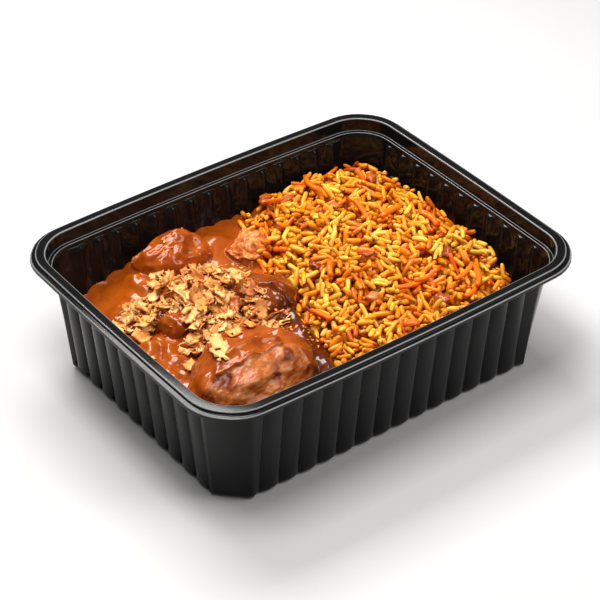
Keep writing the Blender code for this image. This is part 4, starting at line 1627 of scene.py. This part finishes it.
@dataclass
class SauceSide:
    """The pool of sauce with its folds, fillets against the chicken and the tray."""

    fillet: float = 4.5
    under_film: float = 1.3
    seep: float = 5.0
    fall_beyond: float = 0.5
    painted_shade_share: float = 1.2
    columns: int = 210
    rows: int = 300
    bumps_at: Place = (-84.0, 6.0)
    bumps_reach: Place = (20.0, 46.0)
    bumps_rise: float = 4.0
    folds: tuple[Fold, ...] = (
        Fold(((-84.0, 26.0), (-76.0, 24.0)), 3.6, 2.2),
        Fold(((-92.0, 6.0), (-86.0, -4.0), (-86.0, -18.0)), 3.4, 2.0),
        Fold(((-80.0, 12.0), (-77.0, 4.0)), 3.8, 2.2),
        Fold(((-80.0, -4.0), (-74.0, -9.0)), 3.6, 2.2),
        Fold(((-55.0, 43.0), (-58.0, 57.0)), 11.0, 5.0),
        Fold(((-67.5, 48.0), (-69.0, 53.5)), 2.6, 1.2),
        Fold(((-61.5, 50.5), (-63.0, 57.0)), 2.4, 1.3),
        Fold(((-60.0, 61.0), (-61.0, 64.0)), 3.4, 2.4),
        Fold(((-74.0, 46.0), (-75.5, 51.0)), 2.8, 1.8),
        Fold(((-81.5, 42.0), (-83.0, 47.0)), 3.0, 2.0),
        Fold(((-75.5, 38.0), (-77.0, 42.0)), 3.0, 1.8),
        Fold(((-94.0, 24.0), (-90.0, 16.0)), 4.0, 2.0),
        Fold(((-15.0, -13.0), (-18.0, -22.0)), 6.0, 4.6),
        Fold(((-21.0, -30.0), (-25.0, -40.0)), 5.5, 4.0),
        Fold(((-30.0, -14.0), (-26.0, -24.0)), 3.0, 1.8),
        Fold(((-23.0, -50.0), (-27.0, -62.0)), 4.4, 3.0),
    )
    trees: list[BVHTree] = field(default_factory=list)

    def look_at(self, pieces: Iterable[Piece]) -> None:
        """Remember the chicken pieces that stand in the sauce.

        Args:
            pieces: the finished pieces.
        """
        for piece in pieces:
            points = [vertex.co / MM for vertex in piece.data.vertices]
            polygons = [tuple(face.vertices) for face in piece.data.polygons if len(face.vertices) < 5]
            self.trees.append(BVHTree.FromPolygons(points, polygons))

    def chicken_top(self, x: float, y: float) -> float:
        """Find the level of the chicken over a place.

        Args:
            x: the place in X.
            y: the place in Y.

        Returns:
            The level, or 0 where there is none.
        """
        highest = 0.0
        for tree in self.trees:
            hit = tree.ray_cast(Vector((x, y, 70.0)), Vector((0.0, 0.0, -1.0)))[0]
            if hit:
                highest = max(highest, hit.z)
        return highest

    def pool(self, x: float, y: float) -> float:
        """Find the level of the sauce away from the chicken.

        Args:
            x: the place in X.
            y: the place in Y.

        Returns:
            The level.
        """
        ripple = 0.4 * waves(x, y, 7.0, 8.1) + 0.15 * waves(x, y, 3.1, 2.2)
        off_x = (x - self.bumps_at[0]) / self.bumps_reach[0]
        off_y = (y - self.bumps_at[1]) / self.bumps_reach[1]
        bumpy = self.bumps_rise * math.exp(-(off_x ** 2) - off_y ** 2)
        ripple += bumpy * (abs(waves(x, y, 11.0, 3.3)) * 2.0 - 0.5 + 0.35 * waves(x, y, 5.5, 7.7))
        return LAYOUT.sauce_top(x, y) + ripple + sum(fold.height(x, y) for fold in self.folds)

    def top(self, x: float, y: float) -> float:
        """Find the level of the sauce, drawn up against the chicken.

        Args:
            x: the place in X.
            y: the place in Y.

        Returns:
            The level.
        """
        level = self.pool(x, y)
        beyond = x - LAYOUT.border(y)
        if beyond > 0.0:
            level -= self.fall_beyond * beyond
        chicken = self.chicken_top(x, y)
        return smooth_max(level, chicken - self.under_film, self.fillet) if chicken else level

    def depth(self, x: float, y: float, z: float) -> float:
        """Find how dark the sauce is painted: darker where it lies low, with painted shade beside the rice.

        Args:
            x: the place in X.
            y: the place in Y.
            z: the level.

        Returns:
            The darkness from 0 to 1.
        """
        # Darker where the sauce lies low, plus painted shade beside the rice.
        sunk = max(-0.15, (LAYOUT.sauce_top(x, y) - 0.4 - z) / 3.5)
        shaded = self.painted_shade_share * LAYOUT.painted_shade_near_rice(x, y)
        return float(np.clip(0.8 * sunk + shaded + 0.28 * waves(x, y, 9.0, 5.5), 0.0, 0.95))

    def build(self, material: Material) -> Piece:
        """Build the pool.

        Args:
            material: the finish.

        Returns:
            The pool.
        """
        def wall(y: float) -> float:
            """Return where the pool meets the wall."""
            return -CAVITY.reach_beside(y)

        def end(y: float) -> float:
            """Return where the pool ends under the rice."""
            return LAYOUT.border(y) + self.seep

        block = Block("sauce", self.top, wall, end, self.columns, self.rows, finish_values=self.depth)
        return block.build(material)


@dataclass
class RiceSide:
    """The heap of rice: a core under loose grains, carrot strips and bits of meat."""

    seed: int = 11
    layer: float = 6.4
    wanted: int = 2150
    tries: int = 26000
    grain_length: float = 8.6
    grain_radius: float = 1.36
    over: float = 1.5
    clump: float = 3.2
    spill: float = 4.0
    wall_margin: float = 2.2
    corner_radius: float = 15.0
    droop: float = 5.0
    stretches: Place = (0.8, 1.16)
    girths: Place = (0.86, 1.16)
    shares: tuple[tuple[str, float], ...] = (
        ("grain", 0.93), ("carrot", 0.028), ("meat", 0.013), ("herb", 0.007), ("spice", 0.022))
    columns: int = 130
    rows: int = 190
    key_carrots: tuple[tuple[float, float, float, int], ...] = (
        (56.0, 66.0, -1.8, 1), (29.0, 62.0, -1.6, 1), (61.0, 29.0, -1.67, 0), (69.0, 15.0, 0.2, 0),
        (84.0, 3.0, -1.36, 2), (40.0, -35.5, -0.04, 1), (50.0, -36.5, -0.1, 4), (72.0, -40.0, 0.3, 1),
        (66.0, -53.0, 0.45, 4), (74.0, -47.0, 0.95, 1), (-6.0, -24.0, -1.45, 0), (22.0, -60.0, -0.3, 3),
        (37.0, -6.0, -0.87, 5), (52.0, -18.0, -1.6, 3), (14.0, -6.0, 0.9, 5), (8.0, 28.0, 2.0, 3))
    key_meat: Path = (
        (19.0, -34.0), (50.0, 37.0), (34.0, -10.0), (84.0, 51.0), (48.0, -54.0), (72.0, -28.0), (12.0, 5.0))

    def core_top(self, x: float, y: float) -> float:
        """Return the level of the core under the loose grains."""
        bumps = 0.9 * waves(x, y, 3.4, 6.6) + 0.5 * waves(x, y, 1.7, 1.6)
        return LAYOUT.rice_top(x, y) - self.layer + bumps

    def build_core(self, material: Material) -> Piece:
        """Build the core of the heap.

        Args:
            material: the finish.

        Returns:
            The core.
        """
        def start(y: float) -> float:
            """Return where the core starts beside the sauce."""
            return LAYOUT.border(y) - 0.5

        core = Block("rice_core", self.core_top, start, CAVITY.reach_beside, self.columns, self.rows)
        piece = core.build(material)
        tones = [0.32 + 0.2 * noise.noise(vertex.co / MM / 4.0) for vertex in piece.data.vertices]
        paint(piece, "tint", tones)
        return piece

    def inside(self, x: float, y: float, half_x: float, half_y: float, radius: float) -> bool:
        """Tell whether a place lies inside a rounded outline.

        Args:
            x: the place in X.
            y: the place in Y.
            half_x: the outline's reach in X.
            half_y: its reach in Y.
            radius: its corners' radius.

        Returns:
            Whether it does.
        """
        over_x = max(0.0, abs(x) - half_x + radius)
        over_y = max(0.0, abs(y) - half_y + radius)
        return abs(x) < half_x and abs(y) < half_y and math.hypot(over_x, over_y) < radius

    def fits(self, x: float, y: float, turn: float, length: float, level: float) -> bool:
        """Tell whether both ends of a morsel lie inside the walls and on the rice side.

        Args:
            x: the place in X.
            y: the place in Y.
            turn: the way it points on plan.
            length: its length.
            level: the level to look at.

        Returns:
            Whether they do.
        """
        inset = TRAY.wall_inset(level) + self.wall_margin
        half_x, half_y = TRAY.ring_length / 2 - inset, TRAY.ring_width / 2 - inset
        for end in (-0.5, 0.5):
            ex, ey = x + end * length * math.cos(turn), y + end * length * math.sin(turn)
            if not self.inside(ex, ey, half_x, half_y, self.corner_radius):
                return False
            if ex < LAYOUT.border(ey) - self.spill:
                return False
        return True

    def lay(self, terrain: Terrain) -> dict[str, Cloud]:
        """Let grains, carrots, meat and herbs come to rest one after another.

        Args:
            terrain: the heights of what lies in the tray, which this raises.

        Returns:
            A cloud for each kind of piece.
        """
        rng = random.Random(self.seed)
        clouds = {name: Cloud() for name in ("grain", "carrot", "meat", "herb", "spice")}
        sizes = {"grain": (self.grain_length, self.grain_radius), "carrot": (12.5, 1.2), "meat": (6.4, 2.2),
                 "herb": (2.6, 0.4), "spice": (3.6, 1.2)}
        names = [name for name, _ in self.shares]
        weights = [share for _, share in self.shares]
        laid = 0
        for _ in range(self.tries):
            if laid >= self.wanted:
                break
            x, y = rng.uniform(-32.0, 101.0), rng.uniform(-CAVITY.reach_y, CAVITY.reach_y)
            name = rng.choices(names, weights)[0]
            turn = rng.uniform(0.0, math.pi)
            stretch = rng.uniform(*self.stretches)
            length, radius = sizes[name][0] * stretch, sizes[name][1] * rng.uniform(*self.girths)
            if not self.fits(x, y, turn, length, LAYOUT.rice_level):
                continue
            z, slope = terrain.rest_rod(x, y, turn, length, radius)
            ceiling = LAYOUT.rice_top(x, y) + self.over + self.clump * waves(x, y, 9.0, 2.9)
            if z + radius > ceiling + rng.uniform(-0.5, 0.8):
                continue
            if not self.fits(x, y, turn, length, z - 0.5 * length * abs(slope) - self.droop):
                continue
            terrain.raise_patch(x, y, turn, slope, z, length, 2 * radius, 2 * radius)
            tilt = -math.atan(slope) + math.radians(rng.gauss(0.0, 14.0))
            roll = rng.uniform(0.0, math.tau) if name != "herb" else rng.uniform(-0.5, 0.5)
            width = radius / sizes[name][1]
            warm = 0.38 + 0.55 * waves(x, y, 12.0, 9.1) + rng.gauss(0.0, 0.17)
            clouds[name].put((x, y, z), (roll, tilt, turn), (stretch, width, width),
                             rng.randrange(6), float(np.clip(warm, 0.0, 1.0)))
            laid += 1
        for x, y, turn, kind in self.key_carrots:
            z, slope = terrain.rest_rod(x, y, turn, 12.0, 1.2)
            terrain.raise_patch(x, y, turn, slope, z, 12.0, 2.4, 2.2)
            clouds["carrot"].put((x, y, z - 0.3), (0.2 * kind, -math.atan(slope), turn),
                                 (1.15, 1.1, 1.1), kind, 0.35)
        for index, (x, y) in enumerate(self.key_meat):
            z, slope = terrain.rest_rod(x, y, 1.3 * index, 6.0, 1.6)
            clouds["meat"].put((x, y, z - 0.4), (0.3, 0.2, 1.3 * index),
                               (1.25, 1.15, 0.9), index % 6, 0.15 + 0.12 * index)
        LOG.info("rice side: %d pieces laid", laid)
        return clouds

    def grain_shapes(self) -> list[Piece]:
        """Build six rice grains, one of them broken short.

        Returns:
            The shapes.
        """
        sizes = ((1.0, 1.0, 0.35), (1.04, 0.94, -0.5), (0.94, 1.06, 0.15),
                 (1.08, 0.98, 0.6), (0.62, 1.05, 0.1), (0.98, 1.02, -0.25))
        return [grain_shape(f"grain_{index}", self.grain_length * length, self.grain_radius * width, bend)
                for index, (length, width, bend) in enumerate(sizes)]

    def strip_shapes(self) -> list[Piece]:
        """Build six square-cut carrot strips with their own bends.

        Returns:
            The shapes.
        """
        made = []
        sizes = ((12.5, 0.6, 2.4), (14.5, -1.2, 2.2), (10.0, 1.6, 2.5),
                 (6.5, 0.2, 2.7), (13.0, -1.8, 2.0), (8.5, 0.8, 2.6))
        for index, (length, bend, width) in enumerate(sizes):
            line = [Vector(((k / 6 - 0.5) * length, bend * (1.0 - (2.0 * k / 6 - 1.0) ** 2), 0.0))
                    for k in range(7)]
            widths = [width * (0.85 + 0.15 * math.sin(math.pi * k / 6)) for k in range(7)]
            made.append(ribbon_shape(f"strip_{index}", line, widths, 2.1, 4.0 * index, 0.22, across=3))
        return made

    def bit_shapes(self, name: str, half: Point, apart: float, rough: float, level: int) -> list[Piece]:
        """Build six small lumps of one kind that differ in their unevenness."""
        return [lump_shape(f"{name}_{k}", half, apart * k, rough, level) for k in range(6)]


@dataclass
class OnionHeap:
    """The heap of fried onion flakes over the middle of the chicken."""

    centre: Point = (-41.0, 19.0, 41.0)
    half: Point = (35.0, 29.0, 11.0)
    outline: Path = (
        (-47.0, 58.0), (-60.0, 46.0), (-77.0, 41.0), (-87.0, 29.0), (-84.0, 18.0), (-74.0, 21.0),
        (-68.0, 23.0), (-59.0, 15.0), (-65.0, 3.0), (-76.0, 0.0), (-72.0, -14.0), (-66.0, -27.0),
        (-58.0, -28.0), (-47.0, -18.0),
        (-40.0, -18.0), (-31.0, -27.0), (-21.0, -22.0), (-15.0, -10.0), (-22.0, -4.0), (-23.0, 8.0),
        (-30.0, 15.0), (-27.0, 28.0), (-18.0, 23.0), (-14.0, 32.0), (-22.0, 43.0), (-34.0, 54.0))
    thin_from: float = -6.0
    thinned: float = 0.55
    over: float = 1.2
    size_shares: Point = (0.24, 0.44, 0.32)
    crumb_sizes: Place = (0.12, 0.28)
    seed: int = 5
    wanted: int = 430
    crumbs: int = 200
    tries: int = 9000
    strays: tuple[tuple[float, float, int, float, float], ...] = (
        (-71.0, -32.5, 1, 1.3, 0.1),
        (-76.0, -14.0, 9, 1.1, 0.5),
        (-90.0, 0.0, 3, 0.8, 0.4),
        (-92.0, -32.0, 2, 0.55, 0.45),
        (-66.0, -22.0, 4, 0.9, 0.2),
        (-54.0, -19.0, 6, 0.9, 0.45),
        (-44.0, -17.0, 0, 0.8, 0.6),
        (-86.0, 34.0, 5, 0.8, 0.5),
    )

    def heap_top(self, x: float, y: float) -> float:
        """Return the level that the heap fills up to over a place."""
        part = 1.0 - ((x - self.centre[0]) / self.half[0]) ** 2 - ((y - self.centre[1]) / self.half[1]) ** 2
        return self.centre[2] + self.half[2] * math.sqrt(max(0.0, part))

    def inside(self, x: float, y: float) -> bool:
        """Tell whether a place lies inside the heap's outline.

        Args:
            x: the place in X.
            y: the place in Y.

        Returns:
            Whether it does.
        """
        hit = False
        for (ax, ay), (bx, by) in zip(self.outline, (*self.outline[1:], self.outline[0])):
            if (ay > y) != (by > y) and x < (bx - ax) * (y - ay) / (by - ay) + ax:
                hit = not hit
        return hit

    def shapes(self) -> list[Piece]:
        """Build the flakes: ten ragged sheets and six bent strips.

        Returns:
            The shapes.
        """
        rng = random.Random(self.seed)
        made = []
        for index in range(10):
            length, width = rng.uniform(6.5, 11.5), rng.uniform(4.5, 7.5)
            made.append(sheet_shape(f"flake_{index:02d}", length, width, rng.uniform(0.3, 1.5), 7.0 * index,
                                    rng.uniform(0.45, 0.75)))
        for index in range(10, 16):
            steps = 9
            reach, curl, width = rng.uniform(9.0, 15.0), rng.uniform(0.8, 2.6), rng.uniform(1.5, 2.6)
            radius = reach / curl
            line = []
            for k in range(steps):
                turn = curl * (k / (steps - 1) - 0.5)
                line.append(Vector((radius * math.sin(turn), radius * (1.0 - math.cos(turn)),
                                    0.9 * math.sin(2.3 * turn))))
            widths = [width * (0.55 + 0.45 * math.sin(math.pi * (0.12 + 0.76 * k / (steps - 1))))
                      * rng.uniform(0.75, 1.2) for k in range(steps)]
            made.append(ribbon_shape(f"flake_{index:02d}", line, widths, 1.0, 7.0 * index, 0.7,
                                     across=3, lean=rng.uniform(0.1, 0.9)))
        return made

    def lay(self, terrain: Terrain) -> Cloud:
        """Let the flakes come to rest on the sauce, the chicken and each other.

        Args:
            terrain: the heights of what lies in the tray, which this raises.

        Returns:
            The flakes' places.
        """
        rng = random.Random(self.seed + 1)
        cloud = Cloud()
        laid = 0
        for _ in range(self.tries):
            if laid >= self.wanted:
                break
            x, y = rng.uniform(-88.0, -12.0), rng.uniform(-28.0, 63.0)
            if not self.inside(x, y) or (y < self.thin_from and rng.random() < self.thinned):
                continue
            sizes = (rng.uniform(0.22, 0.45), rng.uniform(0.45, 0.8), rng.uniform(0.8, 1.15))
            size = rng.choices(sizes, self.size_shares)[0]
            turn = rng.uniform(0.0, math.tau)
            z, slope = terrain.rest_rod(x, y, turn, 8.0 * size, 0.5)
            if z > self.heap_top(x, y) + self.over:
                continue
            terrain.raise_patch(x, y, turn, slope, z, 8.0 * size, 5.0 * size, 1.5 * size)
            lean = -math.atan(slope) + rng.gauss(0.0, 0.26)
            cloud.put((x, y, z + 0.2), (rng.gauss(0.0, 0.32), lean, turn), (size,) * 3, rng.randrange(16),
                      float(np.clip(rng.gauss(0.4, 0.22), 0.0, 1.0)))
            laid += 1
        for x, y, kind, size, tint in self.strays:
            z, slope = terrain.rest_rod(x, y, 0.4, 7.0 * size, 0.6)
            cloud.put((x, y, z + 0.6), (0.1, -math.atan(slope), 0.4 + kind), (size,) * 3, kind, tint)
        for index in range(self.crumbs):
            x, y = rng.gauss(-40.0, 19.0), rng.gauss(14.0, 19.0)
            if index % 6 == 0:
                x, y = rng.gauss(-20.0, 4.0), rng.gauss(-24.0, 9.0)
            if x < -94.0 or x > LAYOUT.border(y) + 4.0 or not -40.0 < y < 66.0:
                continue
            size = rng.uniform(*self.crumb_sizes)
            z = float(terrain.at(np.array([x]), np.array([y]))[0])
            turn = (rng.uniform(-0.6, 0.6), rng.uniform(-0.6, 0.6), rng.uniform(0.0, 6.0))
            cloud.put((x, y, z + 0.1), turn, (size,) * 3, rng.randrange(16), rng.uniform(0.3, 0.9))
        LOG.info("onion heap: %d flakes laid", laid)
        return cloud


@dataclass
class Studio:
    """The pale floor, the soft lights and the camera."""

    azimuth: float = -36.551
    elevation: float = 36.617
    distance: float = 1027.0
    target: Point = (-25.62, -33.66, 66.0)
    lens: float = 129.44
    roll: float = 0.2
    floor_half: float = 3000.0
    floor_under: float = 0.15
    floor_tones: Place = (0.6, 0.63)
    lamp_colour: Point = (1.0, 0.985, 0.965)
    aim_level: float = 40.0
    surround: float = 0.22
    gamma: float = 0.9

    def place_camera(self) -> None:
        """Set the camera at the photograph's viewing angle."""
        a, e = math.radians(self.azimuth), math.radians(self.elevation)
        back = Vector((math.sin(a) * math.cos(e), -math.cos(a) * math.cos(e), math.sin(e)))
        right = Vector((math.cos(a), math.sin(a), 0.0))
        upward = back.cross(right)
        turn = Matrix((right, upward, back)).transposed().to_4x4()
        lens = bpy.data.cameras.new("camera")
        lens.lens = self.lens
        lens.sensor_width = 36.0
        lens.clip_start = 0.05
        lens.clip_end = 20.0
        camera = bpy.data.objects.new("camera", lens)
        bpy.context.scene.collection.objects.link(camera)
        target = Vector(self.target) * MM
        roll = Matrix.Rotation(math.radians(-self.roll), 4, "Z")
        camera.matrix_world = Matrix.Translation(target + back * self.distance * MM) @ turn @ roll
        bpy.context.scene.camera = camera

    def softbox(self, name: str, place: Point, size: Place, power: float) -> None:
        """Hang a soft rectangular light that faces the meal.

        Args:
            name: the light's name.
            place: where it hangs.
            size: its sides.
            power: its power in watts.
        """
        light = bpy.data.lights.new(name, "AREA")
        light.shape = "RECTANGLE"
        light.size, light.size_y = (value * MM for value in size)
        light.energy = power
        light.color = self.lamp_colour
        lamp = bpy.data.objects.new(name, light)
        bpy.context.scene.collection.objects.link(lamp)
        lamp.location = Vector(place) * MM
        aim = Vector((0.0, 0.0, self.aim_level)) * MM - lamp.location
        lamp.rotation_euler = aim.to_track_quat("-Z", "Y").to_euler()

    def light(self) -> None:
        """Hang the lights and set the pale surroundings."""
        self.softbox("back softbox", (60.0, 500.0, 800.0), (560.0, 340.0), 8.0)
        self.softbox("top softbox", (-200.0, -20.0, 880.0), (420.0, 360.0), 5.5)
        self.softbox("front strip", (480.0, -595.0, 684.0), (340.0, 840.0), 4.8)
        world = bpy.data.worlds.new("studio")
        world.use_nodes = True
        backdrop = world.node_tree.nodes["Background"]
        backdrop.inputs["Color"].default_value = (1.0, 1.0, 1.0, 1.0)
        backdrop.inputs["Strength"].default_value = self.surround
        bpy.context.scene.world = world
        bpy.context.scene.view_settings.view_transform = "Standard"
        bpy.context.scene.view_settings.gamma = self.gamma

    def lay_floor(self) -> None:
        """Lay the pale floor just under the tray."""
        half, level = self.floor_half, -self.floor_under
        floor = make_piece("floor", [(-half, -half, level), (half, -half, level), (half, half, level),
                                     (-half, half, level)], [(0, 1, 2, 3)])
        material, graph, shader, place = new_material("pale floor")
        cloud = mottle(graph, place, 4.0, 0.2, 0.8)
        dark, bright = ((tone, tone, tone, 1.0) for tone in self.floor_tones)
        feed(graph, shader, {
            "Base Color": graph.mix(cloud, dark, bright),
            "Roughness": 0.7,
        })
        floor.data.materials.append(material)


class Kitchen:
    """The finishes of the food."""

    def __init__(self) -> None:
        """Make every finish once."""
        self.sauce = SauceFinish().material()
        self.chicken = ChickenFinish().material()
        self.onion = OnionFinish().material()
        self.rice = MorselFinish("yellow rice", (
            (0.0, shade(250, 202, 84)), (0.35, shade(238, 162, 32)), (0.7, shade(216, 120, 15)),
            (1.0, shade(172, 70, 8))), roughness=0.28, gloss=0.12, glow=0.25).material()
        # The core shows in the gaps between the grains, in darker tones that are painted shade.
        self.core = MorselFinish("rice in shade", (
            (0.0, shade(196, 98, 12)), (0.5, shade(158, 62, 7)), (1.0, shade(98, 32, 4))),
            roughness=0.45, gloss=0.1).material()
        self.carrot = MorselFinish("carrot", (
            (0.0, shade(254, 142, 30)), (0.5, shade(250, 112, 15)), (1.0, shade(232, 82, 9))),
            glow=0.12).material()
        self.meat = MorselFinish("chicken bits", (
            (0.0, shade(226, 144, 84)), (0.5, shade(196, 100, 44)), (1.0, shade(132, 52, 16))),
            glow=0.1).material()
        self.herb = MorselFinish("herbs", (
            (0.0, shade(104, 92, 24)), (1.0, shade(62, 48, 10))), gloss=0.0, glow=0.0).material()
        self.spice = MorselFinish("paprika bits", (
            (0.0, shade(214, 104, 30)), (1.0, shade(140, 56, 18))), gloss=0.3, glow=0.1).material()


def main() -> None:
    """Build and dress every piece of the meal."""
    noise.seed_set(NOISE_SEED)
    logging.basicConfig(level=logging.INFO, format="%(name)s %(message)s")
    studio = Studio()
    studio.place_camera()
    studio.light()
    studio.lay_floor()
    finishes = Kitchen()

    shell = TRAY.build(PlasticFinish().material())
    stand_for(shell, "black_plastic", "tray")

    lumps = []
    for chicken in CHICKEN:
        piece = chicken.build(finishes.chicken)
        stand_for(piece, "grilled_chicken", chicken.node)
        lumps.append(piece)

    sauce_side = SauceSide()
    sauce_side.look_at(lumps)
    stand_for(sauce_side.build(finishes.sauce), "peanut_sauce", "sauce_pool")

    rice_side = RiceSide()
    core = rice_side.build_core(finishes.core)
    stand_for(core, "yellow_rice", "rice_heap")

    terrain = Terrain()

    def ground(x: float, y: float) -> float:
        """Find the level of what lies under the onions and the grains.

        Args:
            x: the place in X.
            y: the place in Y.

        Returns:
            The level.
        """
        if x > LAYOUT.border(y):
            return rice_side.core_top(x, y)
        return max(sauce_side.pool(x, y), sauce_side.chicken_top(x, y))

    terrain.fill(ground)
    heap = OnionHeap()
    flakes = Scatter("onion_flakes", heap.shapes()).build(heap.lay(terrain), finishes.onion)
    stand_for(flakes, "fried_onion", "onion_heap")

    clouds = rice_side.lay(terrain)
    morsels = (
        ("rice_grains", "grain", rice_side.grain_shapes(), finishes.rice),
        ("carrot_strips", "carrot", rice_side.strip_shapes(), finishes.carrot),
        ("meat_bits", "meat", rice_side.bit_shapes("bit", (3.2, 2.2, 1.4), 3.0, 1.5, 2), finishes.meat),
        ("herb_flecks", "herb", rice_side.bit_shapes("fleck", (1.5, 0.8, 0.3), 5.0, 0.6, 1), finishes.herb),
        ("paprika_bits", "spice", rice_side.bit_shapes("pod", (1.6, 1.1, 0.7), 7.0, 0.6, 1), finishes.spice),
    )
    for name, kind, shapes, finish in morsels:
        piece = Scatter(name, shapes).build(clouds[kind], finish)
        stand_for(piece, "yellow_rice")


if __name__ == "__main__":
    main()
